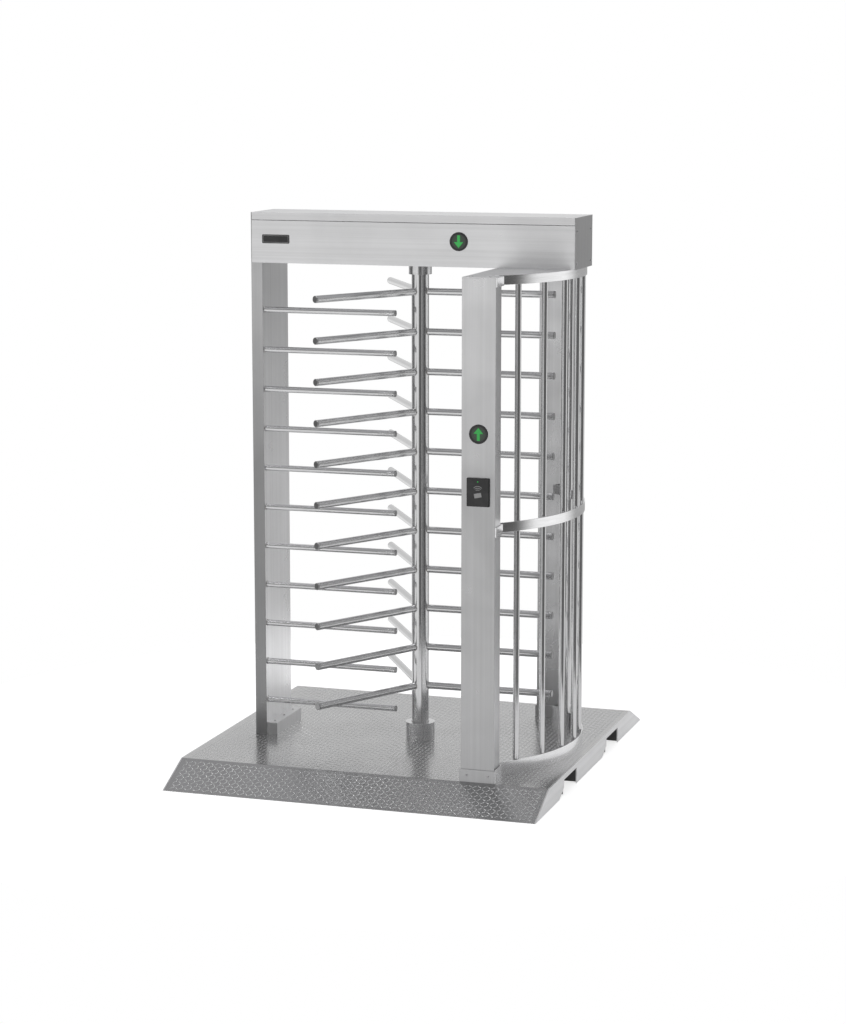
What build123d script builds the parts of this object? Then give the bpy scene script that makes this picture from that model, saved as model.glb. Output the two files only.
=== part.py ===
"""Portable full-height turnstile with a head-count mechanism, built piece by piece.

Millimetres, +Z up, X along the header, Y from the front ramp to the rear ramp.
The origin is the middle of the platform's footprint on the floor.
"""
import math
import os

from build123d import *

# ---------------------------------------------------------------- driving sizes
# Platform
platform_width = 1606
platform_depth = 1800
deck_depth = 1388
platform_height = 90
deck_sheet = 4
end_plate_sheet = 5
fork_spacing = 716
fork_pocket_width = 206
fork_pocket_height = 68
fork_channel_sheet = 4
fork_lead_in_width = 75
fork_lead_in_height = 36
bearer_width = 60
bearer_wall = 4
pad_thickness = 6
pad_radius = 35

# Rotor
rotor_x = 55
rotor_y = -75
arm_count = 11
top_arm_drop = 115             # header's underside to the top arm's axis
bottom_arm_height = 239        # deck to the bottom arm's axis
arm_diameter = 30
arm_wall = 2
wing_radius = 587              # rotor axis to the face of an arm's plug
wing_angle = 1
column_diameter = 74
column_wall = 3
plug_face = 6
plug_spigot = 18
plug_clearance = 0.1
running_clearance = 0.05
floor_cup_radius = 63
floor_cup_height = 78
floor_cup_wall = 11
neck_gap = 1.5                 # round the column where it enters a collar
top_collar_radius = 49
top_collar_height = 42
pivot_radius = 17.5
shaft_radius = 20

# Fixed comb and left post
post_width = 50
post_depth = 300
post_wall = 3
comb_diameter = 26
comb_wall = 2
comb_inset = 21                # comb axis behind the post's front face
comb_tip_gap = 70              # comb tips to rotor axis, along X
foot_height = 53
foot_width = 47
foot_wall = 4

# Header
header_left = -655
header_right = 765
header_depth = 270
header_height = 212
header_clear_height = 2054     # deck to the header's underside
header_sheet = 2.5
header_end_sheet = 3
lid_sheet = 2
lid_drop = 31
lid_seam = 2
lid_end_gap = 0.6
hinge_radius = 5
hinge_pin_radius = 2.5
hinge_length = 70
hinge_positions = (-480, 55, 590)

# Cage
ring_radius = 702
band_sheet = 5
top_band_height = 38
middle_band_height = 40
bottom_band_height = 58
middle_band_level = 1055       # top edge above the deck
tube_diameter = 25.4
tube_wall = 2
tube_pitch_angle = 12.3
tubes_each_side = 3
cage_column_left = 428
cage_column_width = 141
cage_column_depth = 75
cage_column_reach = 615        # rotor axis to a column's outer face, along Y
cage_column_wall = 2
column_foot_proud = 3
column_foot_left = 6
roof_sheet = 3
bracket_sheet = 5
bracket_return = 19            # column's inner face to the strap's return leg

# Service door in the front column
door_bottom = 1060             # above the deck
door_height = 550
door_edge = 10                 # column corner to the door opening
door_gap = 2.4
door_flange = 9
door_pin_radius = 2.5
door_pin_inset = 5
lock_radius = 8
lock_inset = 20                # door edge to lock axis
lock_cam_gap = 1.5             # behind the sheet that the cam catches
lock_cam_length = 26
lock_cam_width = 9
lock_cam_sheet = 3
lock_flange = 3                # the head stands this far out and round the barrel
keyway_width = 1.6
keyway_height = 8
keyway_depth = 2
lid_lock_back = 60             # header front to lock axis
lid_lock_drop = 50             # header top to lock axis
lid_barrel_inside = 7
keeper_gap = 1.5               # round the turned cam
keeper_side = 5
keeper_lip = 12

# Signals and readers
indicator_radius = 39
indicator_rim = 5
indicator_proud = 4
indicator_depth = 34
arrow_height = 52
arrow_width = 40
arrow_head = 24
arrow_stem = 12
header_indicator_x = 266
header_indicator_rise = 106    # above the header's underside
column_indicator_level = 1430  # above the deck
reader_width = 94
reader_height = 115
reader_depth = 9
reader_corner = 3
reader_level = 1196
name_plate_left = 51           # from the header's left end
name_plate_width = 122
name_plate_height = 37
name_plate_rise = 101          # above the header's underside
name_plate_sheet = 1.5

# Mechanism in the header
bed_length = 380
bed_depth = 250
bed_sheet = 10
housing_height = 40
bearing_radius = 40
flange_radius = 62
flange_thickness = 8
flange_screw_radius = 55
screw_head = 10
screw_height = 5
screw_inset = 16
gear_module = 3
drive_teeth = 48
damper_teeth = 15
encoder_teeth = 16
gear_thickness = 12
gear_backlash = 0.5
pressure_angle = 20
addendum = 0.9                 # in modules
dedendum = 1.2
gear_hub_radius = 32
gear_holes = 6
gear_rim = 6.2                 # steel left on both sides of a lightening hole
body_below_gear = 9.5
damper_gap = 0.5               # damper to bearing flange
damper_lug = 6
damper_spindle_radius = 6
encoder_gap = 10               # encoder to bearing flange
encoder_spindle_radius = 4
encoder_socket_length = 26
encoder_socket_width = 16
encoder_socket_height = 20
encoder_socket_sunk = 4
disc_radius = 85
disc_thickness = 10
disc_hub_radius = 30
disc_hub_proud = 4
notch_count = 12
notch_width = 12
notch_depth = 11
nose_side_gap = 1.5            # pawl nose to each side of its notch
nose_end_gap = 3
pawl_reach = 60
pawl_stand_off = 87            # pawl pivot to rotor axis, across the pawl
pawl_swing = 10.5
pawl_lever = 26
pawl_post_radius = 5
pawl_boss_radius = 9
pawl_tail_width = 14
pawl_slot_length = 14
pawl_slot_width = 6.4
pawl_slot_wall = 5
plunger_radius = 4
plunger_pin_radius = 2
solenoid_width = 28
solenoid_length = 36
solenoid_start = 20            # pin to the solenoid's near face
pedestal_width = 18
pedestal_length = 24
cam_base_radius = 46
cam_lift = 6
cam_thickness = 12
cam_points = 90
roller_radius = 11
roller_gap = 0.5
roller_pin_radius = 3.5
roller_pin_head_radius = 5.5
arm_post_right = 78            # post of the centring arm, from the rotor axis
arm_post_back = 84
arm_post_radius = 6
centring_arm_width = 16
centring_arm_sheet = 8
post_collar_proud = 3
gear_rise = 7.5                # bearing housing to drive gear
layer_gap = 10                 # gear to disc, and disc to cam
arm_rise = 4                   # cam to centring arm

# Electronics in the header, each from the rotor axis along X
board_start = 275
board_length = 170
board_width = 130
board_sheet = 1.6
board_stand_off = 14
relay_count = 4
relay_length = 19
relay_width = 16
relay_height = 16
relay_pitch = 26
terminal_count = 6
terminal_length = 20
terminal_width = 10
terminal_height = 11
terminal_pitch = 25
supply_start = 525
supply_length = 150
supply_width = 110
supply_height = 45
vent_radius = 3
vent_rows = 5
vent_columns = 9
vent_row_pitch = 16
vent_column_pitch = 12
vent_depth = 1.5
supply_step_length = 14
supply_step_height = 18
supply_terminals = 7
supply_terminal_pitch = 13.5
counter_start = -365
counter_length = 80
counter_width = 60
counter_height = 42
counter_wheels = 6
counter_wheel_width = 8
counter_wheel_pitch = 9
counter_window_depth = 3
gland_from_end = 120
gland_rise = 60
gland_radius = 11
gland_nut_radius = 15
gland_bore = 5
cable_hole_radius = 18

# ---------------------------------------------------------------- worked-out places
deck_top = platform_height
half_width = platform_width / 2
half_depth = platform_depth / 2
half_deck = deck_depth / 2
inner_half_width = half_width - end_plate_sheet

header_bottom = deck_top + header_clear_height
header_top = header_bottom + header_height
header_front = rotor_y - header_depth / 2
header_back = rotor_y + header_depth / 2
header_floor = header_bottom + header_sheet
trough_top = header_top - lid_drop - lid_seam

post_inner_x = header_left + post_width
post_back = header_front + post_depth
comb_y = header_front + comb_inset
comb_tip_x = rotor_x - comb_tip_gap
top_arm_z = header_bottom - top_arm_drop
arm_pitch = (header_clear_height - top_arm_drop - bottom_arm_height) / (arm_count - 1)

roof_top = header_bottom
roof_bottom = roof_top - roof_sheet
column_left = cage_column_left
column_right = cage_column_left + cage_column_width
column_middle = (column_left + column_right) / 2
column_front = rotor_y - cage_column_reach
column_inner_front = column_front + cage_column_depth
column_rear = rotor_y + cage_column_reach
column_inner_rear = column_rear - cage_column_depth
tube_ring_radius = ring_radius - band_sheet - tube_diameter / 2
bracket_outer_x = column_right + bracket_sheet
band_reach = cage_column_reach - cage_column_depth
bracket_reach = band_reach - bracket_return

bed_top = header_floor + bed_sheet
housing_top = bed_top + housing_height
gear_bottom = housing_top + gear_rise
gear_top = gear_bottom + gear_thickness
disc_bottom = gear_top + layer_gap
disc_top = disc_bottom + disc_thickness
cam_bottom = disc_top + layer_gap
cam_top = cam_bottom + cam_thickness
arm_plate_bottom = cam_top + arm_rise
drive_pitch_radius = gear_module * drive_teeth / 2
damper_pitch_radius = gear_module * damper_teeth / 2
encoder_pitch_radius = gear_module * encoder_teeth / 2
damper_x = rotor_x + drive_pitch_radius + damper_pitch_radius
encoder_x = rotor_x - drive_pitch_radius - encoder_pitch_radius
damper_radius = damper_x - rotor_x - flange_radius - damper_gap
encoder_radius = rotor_x - encoder_x - flange_radius - encoder_gap


# ---------------------------------------------------------------- small helpers
def block(x0, x1, y0, y1, z0, z1):
    """A box between two corners."""
    return Pos((x0 + x1) / 2, (y0 + y1) / 2, (z0 + z1) / 2) * Box(x1 - x0, y1 - y0, z1 - z0)


def upright(radius, z0, z1, x=rotor_x, y=rotor_y):
    """A round bar standing on the rotor axis, or at x, y."""
    return Pos(x, y, (z0 + z1) / 2) * Cylinder(radius, z1 - z0)


def upright_ring(outer, inner, z0, z1, x=rotor_x, y=rotor_y):
    """A standing tube or ring."""
    return upright(outer, z0, z1, x, y) - upright(inner, z0 - 1, z1 + 1, x, y)


def bar_x(radius, x0, x1, y, z):
    """A round bar along X."""
    return Pos((x0 + x1) / 2, y, z) * Rot(0, 90, 0) * Cylinder(radius, x1 - x0)


def bar_y(radius, y0, y1, x, z):
    """A round bar along Y."""
    return Pos(x, (y0 + y1) / 2, z) * Rot(90, 0, 0) * Cylinder(radius, y1 - y0)


def along_x(points, x0, x1):
    """A closed Y-Z outline drawn out along X."""
    face = make_face(Polyline(*points, close=True))
    return Pos(x0, 0, 0) * extrude(Plane.YZ * face, amount=x1 - x0)


def along_z(points, z0, z1):
    """A closed X-Y outline drawn up from z0 to z1."""
    face = make_face(Polyline(*points, close=True))
    return Pos(0, 0, z0) * extrude(face, amount=z1 - z0)


def turned(shape, angle, x=rotor_x, y=rotor_y):
    """A shape turned about an upright axis."""
    return Pos(x, y, 0) * Rot(0, 0, angle) * Pos(-x, -y, 0) * shape


def spanned_y(face, out, near, far):
    """Low and high Y of a slab from near to far, measured outwards from a face."""
    first = face + out * near
    second = face + out * far
    return min(first, second), max(first, second)


def save(node, *shapes):
    """Write one node; several shapes stay separate solids."""
    solids = []
    for shape in shapes:
        solids.extend(shape.solids())
    if len(solids) == 1:
        export_step(solids[0], f"parts/{node}.step")
    else:
        export_step(Compound(children=solids), f"parts/{node}.step")


# ---------------------------------------------------------------- platform
def deck_plate():
    """One tread sheet, folded down at front and back into two ramps."""
    run = half_depth - half_deck
    slope = math.atan2(platform_height, run)
    lip = deck_sheet / math.sin(slope)
    under = deck_top - deck_sheet
    inner_fold = half_depth - lip - under * run / platform_height
    outline = [
        (-half_depth, 0),
        (-half_deck, deck_top),
        (half_deck, deck_top),
        (half_depth, 0),
        (half_depth - lip, 0),
        (inner_fold, under),
        (-inner_fold, under),
        (-half_depth + lip, 0),
    ]
    return along_x(outline, -inner_half_width, inner_half_width)


def end_plate(x0):
    """Flat side plate with two fork notches, each with a lead-in on its front corner."""
    outline = [
        (-half_depth, 0),
        (-half_deck, deck_top),
        (half_deck, deck_top),
        (half_depth, 0),
    ]
    plate = along_x(outline, x0, x0 + end_plate_sheet)
    for side in (-1, 1):
        front = side * fork_spacing / 2 - fork_pocket_width / 2
        back = front + fork_pocket_width
        notch = [
            (front - fork_lead_in_width, -1),
            (front, fork_lead_in_height),
            (front, fork_pocket_height),
            (back, fork_pocket_height),
            (back, -1),
        ]
        plate -= along_x(notch, x0 - 1, x0 + end_plate_sheet + 1)
    return plate


def fork_channel(side):
    """Inverted channel that guides a lift truck's fork through the platform."""
    middle = side * fork_spacing / 2
    half = fork_pocket_width / 2
    outer = half + fork_channel_sheet
    channel = block(
        -inner_half_width, inner_half_width,
        middle - outer, middle + outer,
        pad_thickness, fork_pocket_height + fork_channel_sheet,
    )
    hollow = block(
        -inner_half_width - 1, inner_half_width + 1,
        middle - half, middle + half,
        0, fork_pocket_height,
    )
    return channel - hollow


def bearer_places():
    """Y of each bearer tube, clear of both fork channels."""
    outer = (fork_spacing / 2 + fork_pocket_width / 2 + fork_channel_sheet + half_deck) / 2
    inner = (fork_spacing / 2 - fork_pocket_width / 2 - fork_channel_sheet) / 2
    return (-outer, -inner, inner, outer)


def bearers():
    """Box tubes welded under the deck from end plate to end plate."""
    under = deck_top - deck_sheet
    tubes = []
    for y in bearer_places():
        low = y - bearer_width / 2
        high = y + bearer_width / 2
        tube = block(-inner_half_width, inner_half_width, low, high, pad_thickness, under)
        tube -= block(
            -inner_half_width - 1, inner_half_width + 1,
            low + bearer_wall, high - bearer_wall,
            pad_thickness + bearer_wall, under - bearer_wall,
        )
        tubes.append(tube)
    return tubes


def pads():
    """Rubber pads between bearers and floor."""
    reach = inner_half_width - 2 * pad_radius
    discs = []
    for y in bearer_places():
        for x in (-reach, 0, reach):
            radius = min(pad_radius, bearer_width / 2)
            discs.append(upright(radius, 0, pad_thickness, x, y))
    return discs


# ---------------------------------------------------------------- left post and comb
def comb_levels():
    """Height of each fixed comb arm, midway under the rotor arm of its row."""
    return [top_arm_z - arm_pitch * (row + 0.5) for row in range(arm_count)]


def left_post():
    """Deep box post, with one hole for each comb arm in its inner face."""
    post = block(header_left, post_inner_x, header_front, post_back, deck_top, header_bottom)
    post -= block(
        header_left + post_wall, post_inner_x - post_wall,
        header_front + post_wall, post_back - post_wall,
        deck_top - 1, header_bottom + 1,
    )
    for z in comb_levels():
        post -= bar_x(comb_diameter / 2, post_inner_x - 2 * post_wall, post_inner_x + 1, comb_y, z)
    return post


def post_foot():
    """Folded foot bolted along the post's inner base."""
    x1 = post_inner_x + foot_width
    top = deck_top + foot_height
    foot = block(post_inner_x, x1, header_front + post_wall, post_back, deck_top, top)
    foot -= block(
        post_inner_x - 1, x1 - foot_wall,
        header_front + post_wall + foot_wall, post_back - foot_wall,
        deck_top - 1, top - foot_wall,
    )
    return foot


def comb_arms():
    """Fixed tubes that pass between the rotor's arms."""
    start = header_left + 2 * post_wall
    end = comb_tip_x - plug_face
    radius = comb_diameter / 2
    arms = []
    for z in comb_levels():
        tube = bar_x(radius, start, end, comb_y, z)
        tube -= bar_x(radius - comb_wall, start - 1, end + 1, comb_y, z)
        arms.append(tube)
    return arms


def comb_plugs():
    """Round plugs in the comb arms' open ends."""
    radius = comb_diameter / 2
    face = comb_tip_x - plug_face
    spigot = radius - comb_wall - plug_clearance
    plugs = []
    for z in comb_levels():
        plug = bar_x(radius, face, comb_tip_x, comb_y, z)
        plug = fillet(plug.edges().filter_by(GeomType.CIRCLE).sort_by(Axis.X)[-1], plug_face / 3)
        plug += bar_x(spigot, face - plug_spigot, face, comb_y, z)
        plugs.append(plug)
    return plugs


# ---------------------------------------------------------------- rotor
column_radius = column_diameter / 2
column_bore = column_radius - column_wall
rotor_column_bottom = deck_top + 40
rotor_column_top = header_bottom - top_collar_height / 2
floor_bearing_bottom = deck_top + 4
floor_bearing_top = floor_bearing_bottom + 20
shaft_top = cam_top + 2


def rotor_column():
    """Round tube that carries the three wings."""
    return upright_ring(column_radius, column_bore, rotor_column_bottom, rotor_column_top)


def head_shaft():
    """Turned shaft plugged into the column's top, up through the head bearing."""
    shaft = upright(column_bore, rotor_column_top - 60, rotor_column_top - 2)
    return shaft + upright(shaft_radius, rotor_column_top - 2, shaft_top)


def foot_pivot():
    """Turned plug with the pin that runs in the floor bearing."""
    shoulder = floor_bearing_top + 0.3
    pivot = upright(column_bore, rotor_column_bottom, rotor_column_bottom + 50)
    pivot += upright(pivot_radius + 8, shoulder, rotor_column_bottom)
    return pivot + upright(pivot_radius, floor_bearing_bottom, shoulder)


def wing_arm(z):
    """One hollow arm along +X, coped to the column."""
    radius = arm_diameter / 2
    end = rotor_x + wing_radius - plug_face
    arm = bar_x(radius, rotor_x, end, rotor_y, z)
    arm -= bar_x(radius - arm_wall, rotor_x - 1, end + 1, rotor_y, z)
    return arm - upright(column_radius, z - arm_diameter, z + arm_diameter)


def wing_plug(z):
    """Dark plug in an arm's end."""
    radius = arm_diameter / 2
    face = rotor_x + wing_radius - plug_face
    plug = bar_x(radius, face, face + plug_face, rotor_y, z)
    plug = fillet(plug.edges().filter_by(GeomType.CIRCLE).sort_by(Axis.X)[-1], plug_face / 3)
    return plug + bar_x(radius - arm_wall - plug_clearance, face - plug_spigot, face, rotor_y, z)


def wing(shape, index):
    """Copies of one arm or plug down a wing."""
    angle = wing_angle + 120 * index
    return [turned(Pos(0, 0, -arm_pitch * row) * shape, angle) for row in range(arm_count)]


# ---------------------------------------------------------------- bearings and collars
def floor_cup():
    """Cup on the deck that holds the floor bearing and hides the column's foot."""
    top = deck_top + floor_cup_height
    neck = column_radius + neck_gap
    cup = upright(floor_cup_radius, deck_top, top)
    cup -= upright(floor_cup_radius - floor_cup_wall, deck_top - 1, top - 18)
    return cup - upright(neck, deck_top, top + 1)


def floor_bearing():
    """Bearing that takes the rotor's weight."""
    outer = floor_cup_radius - floor_cup_wall
    inner = pivot_radius + running_clearance
    return upright_ring(outer, inner, floor_bearing_bottom, floor_bearing_top)


def top_collar():
    """Shroud under the header round the column's top."""
    inner = column_radius + neck_gap
    return upright_ring(top_collar_radius, inner, header_bottom - top_collar_height, header_bottom)


def bearing_housing():
    """Flanged housing bolted to the mechanism bed."""
    housing = upright_ring(flange_radius, shaft_radius + 4, bed_top, bed_top + flange_thickness)
    return housing + upright_ring(
        bearing_radius + 8, bearing_radius, bed_top + flange_thickness, housing_top,
    )


def head_bearing():
    """Ball bearing round the head shaft."""
    inner = shaft_radius + running_clearance
    return upright_ring(bearing_radius, inner, bed_top + flange_thickness, housing_top - 6)


# ---------------------------------------------------------------- header
def indicator_hole(y0, y1, x, z):
    """Clearance for an indicator's body."""
    return bar_y(indicator_radius - indicator_rim, y0, y1, x, z)


header_indicator_z = header_bottom + header_indicator_rise
column_indicator_z = deck_top + column_indicator_level


def header_trough():
    """Folded channel: floor, front and back of the header beam."""
    x0 = header_left + header_end_sheet
    x1 = header_right - header_end_sheet
    trough = block(x0, x1, header_front, header_back, header_bottom, trough_top)
    trough -= block(
        x0 - 1, x1 + 1,
        header_front + header_sheet, header_back - header_sheet,
        header_floor, trough_top + 1,
    )
    trough -= upright(column_radius + neck_gap, header_bottom - 1, header_floor + 1)
    front = (header_front - 1, header_front + header_sheet + 1)
    back = (header_back - header_sheet - 1, header_back + 1)
    for y0, y1 in (front, back):
        trough -= indicator_hole(y0, y1, header_indicator_x, header_indicator_z)
    for x in (post_inner_x - post_width / 2, column_middle):
        trough -= upright(cable_hole_radius, header_bottom - 1, header_floor + 1, x, rotor_y)
    return trough


def header_end(x0):
    """Flat end plate, as tall as the closed header."""
    return block(
        x0, x0 + header_end_sheet, header_front, header_back, header_bottom, header_top,
    )


def lock_hole_in_left_end(plate):
    """The left end plate carries the lid's key lock."""
    return plate - bar_x(
        lock_radius + running_clearance,
        header_left - 1, header_left + header_end_sheet + 1,
        lid_lock_y, lid_lock_z,
    )


lid_lock_y = header_front + lid_lock_back
lid_lock_z = header_top - lid_lock_drop
lid_cam_x = header_left + header_end_sheet + lid_barrel_inside
lid_low = header_top - lid_drop
hinge_y = header_back + hinge_radius
hinge_z = lid_low - lid_seam / 2


def header_lid():
    """Folded lid with its half of the rear hinges and the tab that the lock holds."""
    x0 = header_left + header_end_sheet + lid_end_gap
    x1 = header_right - header_end_sheet - lid_end_gap
    lid = block(x0, x1, header_front, header_back, lid_low, header_top)
    lid -= block(
        x0 - 1, x1 + 1,
        header_front + lid_sheet, header_back - lid_sheet,
        lid_low - 1, header_top - lid_sheet,
    )
    third = hinge_length / 3
    for x in hinge_positions:
        for start in (x - hinge_length / 2, x + hinge_length / 2 - third):
            knuckle = bar_x(hinge_radius, start, start + third, hinge_y, hinge_z)
            knuckle += block(
                start, start + third,
                header_back, header_back + 2 * lid_sheet, hinge_z + 1, header_top - 6,
            )
            knuckle -= bar_x(
                hinge_pin_radius + running_clearance,
                start - 1, start + third + 1, hinge_y, hinge_z,
            )
            lid += knuckle
    keeper_left = lid_cam_x - keeper_side
    keeper_right = lid_cam_x + lock_cam_sheet + keeper_side
    keeper_y = lid_lock_y + lock_cam_length + keeper_gap
    lip_top = lid_lock_z - lock_cam_width / 2 - keeper_gap
    lid += block(
        keeper_left, keeper_right, keeper_y, keeper_y + lid_sheet,
        lip_top - lid_sheet, header_top - lid_sheet,
    )
    lid += block(
        keeper_left, keeper_right, keeper_y - keeper_lip, keeper_y, lip_top - lid_sheet, lip_top,
    )
    return lid


def lid_hinges():
    """Fixed halves of the lid hinges, each with its pin."""
    third = hinge_length / 3
    halves = []
    for x in hinge_positions:
        start = x - third / 2
        half = bar_x(hinge_radius, start + 0.3, start + third - 0.3, hinge_y, hinge_z)
        half += block(
            start + 0.3, start + third - 0.3,
            header_back, header_back + 2 * lid_sheet, trough_top - 26, hinge_z - 1,
        )
        half += bar_x(hinge_pin_radius, x - hinge_length / 2, x + hinge_length / 2, hinge_y, hinge_z)
        halves.append(half)
    return halves


def lid_lock():
    """Key barrel with a head outside and a cam inside; open when the cam stands up."""
    head = bar_x(
        lock_radius + lock_flange, header_left - lock_flange, header_left, lid_lock_y, lid_lock_z,
    )
    barrel = bar_x(lock_radius, header_left, lid_cam_x, lid_lock_y, lid_lock_z)
    cam = block(
        lid_cam_x, lid_cam_x + lock_cam_sheet,
        lid_lock_y - lock_cam_width / 2, lid_lock_y + lock_cam_width / 2,
        lid_lock_z - lock_cam_width / 2, lid_lock_z + lock_cam_length,
    )
    keyway = block(
        header_left - lock_flange - 1, header_left - lock_flange + keyway_depth,
        lid_lock_y - keyway_width / 2, lid_lock_y + keyway_width / 2,
        lid_lock_z - keyway_height / 2, lid_lock_z + keyway_height / 2,
    )
    return head + barrel + cam - keyway


def name_plate():
    """Blank plate stuck to the header's front."""
    x0 = header_left + name_plate_left
    z = header_bottom + name_plate_rise
    plate = block(
        x0, x0 + name_plate_width,
        header_front - name_plate_sheet, header_front,
        z - name_plate_height / 2, z + name_plate_height / 2,
    )
    return fillet(plate.edges().filter_by(Axis.Y), name_plate_height / 8)


# ---------------------------------------------------------------- cage
def cage_column(outer_y, inner_y):
    """Box column between deck and roof."""
    y0 = min(outer_y, inner_y)
    y1 = max(outer_y, inner_y)
    column = block(column_left, column_right, y0, y1, deck_top, roof_bottom)
    column -= block(
        column_left + cage_column_wall, column_right - cage_column_wall,
        y0 + cage_column_wall, y1 - cage_column_wall,
        deck_top - 1, roof_bottom + 1,
    )
    if outer_y < inner_y:
        wall = (outer_y - 1, outer_y + cage_column_wall + 1)
    else:
        wall = (outer_y - cage_column_wall - 1, outer_y + 1)
    return column - indicator_hole(*wall, column_middle, column_indicator_z)


door_left = column_left + door_edge
door_right = column_right - door_edge
door_low = deck_top + door_bottom
door_high = door_low + door_height
door_pin_x = door_right - door_pin_inset
door_pin_y = column_inner_front - door_pin_inset
door_lock_x = door_left + lock_inset
door_lock_z = (door_low + door_high) / 2


def front_column():
    """Front column with the service opening in its inner face and two pivot blocks."""
    column = cage_column(column_front, column_inner_front)
    column -= block(
        door_left - door_gap, door_right + door_gap,
        column_inner_front - cage_column_wall - 1, column_inner_front + 1,
        door_low - door_gap, door_high + door_gap,
    )
    inner_face = column_inner_front - cage_column_wall
    for z0, z1 in ((door_low - 12, door_low - door_gap), (door_high + door_gap, door_high + 12)):
        lug = block(
            door_pin_x - 8, column_right - cage_column_wall,
            inner_face - 10, inner_face, z0, z1,
        )
        column += lug - upright(
            door_pin_radius + running_clearance, z0 - 1, z1 + 1, door_pin_x, door_pin_y,
        )
    return column


def column_door():
    """Pressed door with a return flange and two pivot pins."""
    y1 = column_inner_front
    y0 = y1 - cage_column_wall
    door = block(door_left, door_right, y0, y1, door_low, door_high)
    for z0 in (door_low, door_high - cage_column_wall):
        door += block(
            door_pin_x - 8, door_pin_x + 4,
            y0 - door_flange, y0, z0, z0 + cage_column_wall,
        )
    door += upright(door_pin_radius, door_low - 11, door_low + 1, door_pin_x, door_pin_y)
    door += upright(door_pin_radius, door_high - 1, door_high + 11, door_pin_x, door_pin_y)
    return door - bar_y(lock_radius + running_clearance, y0 - 1, y1 + 1, door_lock_x, door_lock_z)


def door_lock():
    """Key barrel in the door; open when the cam stands up."""
    y1 = column_inner_front
    cam_y = y1 - cage_column_wall - lock_cam_gap
    lock = bar_y(lock_radius + lock_flange, y1, y1 + lock_flange, door_lock_x, door_lock_z)
    lock += bar_y(lock_radius, cam_y, y1, door_lock_x, door_lock_z)
    lock += block(
        door_lock_x - lock_cam_width / 2, door_lock_x + lock_cam_width / 2,
        cam_y - lock_cam_sheet, cam_y,
        door_lock_z - lock_cam_width / 2, door_lock_z + lock_cam_length,
    )
    return lock - block(
        door_lock_x - keyway_width / 2, door_lock_x + keyway_width / 2,
        y1 + lock_flange - keyway_depth, y1 + lock_flange + 1,
        door_lock_z - keyway_height / 2, door_lock_z + keyway_height / 2,
    )


def column_foot(outer_y, inner_y):
    """Sleeve round a column's base."""
    y0 = min(outer_y, inner_y)
    y1 = max(outer_y, inner_y)
    sleeve = block(
        column_left - column_foot_left, column_right + column_foot_proud,
        y0 - column_foot_proud, y1 + column_foot_proud,
        deck_top, deck_top + foot_height,
    )
    return sleeve - block(column_left, column_right, y0, y1, deck_top - 1, deck_top + foot_height + 1)


def roof_plate():
    """Flat plate over the cage that ties both columns and carries the header."""
    radius = ring_radius - band_sheet
    plate = upright(radius, roof_bottom, roof_top)
    plate &= block(
        column_left, rotor_x + radius, column_front, column_rear, roof_bottom, roof_top,
    )
    for side in (-1, 1):
        y0, y1 = spanned_y(rotor_y, side, bracket_reach + bracket_sheet, cage_column_reach)
        plate += block(column_left, column_right, y0, y1, roof_bottom, roof_top)
    plate -= cage_band(roof_bottom, roof_top)
    for side in (-1, 1):
        plate -= band_bracket(side, roof_bottom, roof_top)
    return plate


def cage_band(z0, z1):
    """Flat bar rolled round the outside of the tubes, from column to column."""
    ring = upright_ring(ring_radius, ring_radius - band_sheet, z0, z1)
    reach = band_reach - (column_foot_proud if z0 <= deck_top else 0)
    keep = block(
        rotor_x, rotor_x + ring_radius + 1, rotor_y - reach, rotor_y + reach, z0 - 1, z1 + 1,
    )
    return ring & keep


def band_levels():
    """Low and high edge of each band."""
    middle = deck_top + middle_band_level
    return (
        (roof_top - top_band_height, roof_top),
        (middle - middle_band_height, middle),
        (deck_top, deck_top + bottom_band_height),
    )


def band_bracket(side, z0, z1):
    """Strap on a column's outer side, with a return leg that ends on the band."""
    inner_x = column_right + (column_foot_proud if z0 <= deck_top else 0)
    y0, y1 = spanned_y(rotor_y, side, bracket_reach, cage_column_reach)
    strap = block(inner_x, bracket_outer_x, y0, y1, z0, z1)
    y0, y1 = spanned_y(rotor_y, side, bracket_reach, bracket_reach + bracket_sheet)
    leg = block(rotor_x, bracket_outer_x, y0, y1, z0, z1) - upright(ring_radius, z0 - 1, z1 + 1)
    return strap + leg


def cage_tubes():
    """Upright tubes inside the bands."""
    radius = tube_diameter / 2
    tubes = []
    for step in range(-tubes_each_side, tubes_each_side + 1):
        angle = math.radians(step * tube_pitch_angle)
        x = rotor_x + tube_ring_radius * math.cos(angle)
        y = rotor_y + tube_ring_radius * math.sin(angle)
        tubes.append(upright_ring(radius, radius - tube_wall, deck_top, roof_bottom, x, y))
    return tubes


# ---------------------------------------------------------------- signals and readers
def signal_places():
    """Face Y, outward direction, X and Z of each direction signal."""
    return (
        (header_front, -1, header_indicator_x, header_indicator_z),
        (column_front, -1, column_middle, column_indicator_z),
        (header_back, 1, header_indicator_x, header_indicator_z),
        (column_rear, 1, column_middle, column_indicator_z),
    )


def indicator_bezels():
    """Dark rim and pot of each signal."""
    pots = []
    inner = indicator_radius - indicator_rim
    for face, out, x, z in signal_places():
        y0, y1 = spanned_y(face, out, 0, indicator_proud)
        rim = bar_y(indicator_radius, y0, y1, x, z)
        rim = fillet(rim.edges().filter_by(GeomType.CIRCLE).sort_by(Axis.Y)[-1 if out > 0 else 0], 1.5)
        y0, y1 = spanned_y(face, out, -indicator_depth, 0)
        pot = rim + bar_y(inner - 0.2, y0, y1, x, z)
        y0, y1 = spanned_y(face, out, -indicator_depth + 3, indicator_proud + 1)
        pots.append(pot - bar_y(inner - 3, y0, y1, x, z))
    return pots


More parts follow.
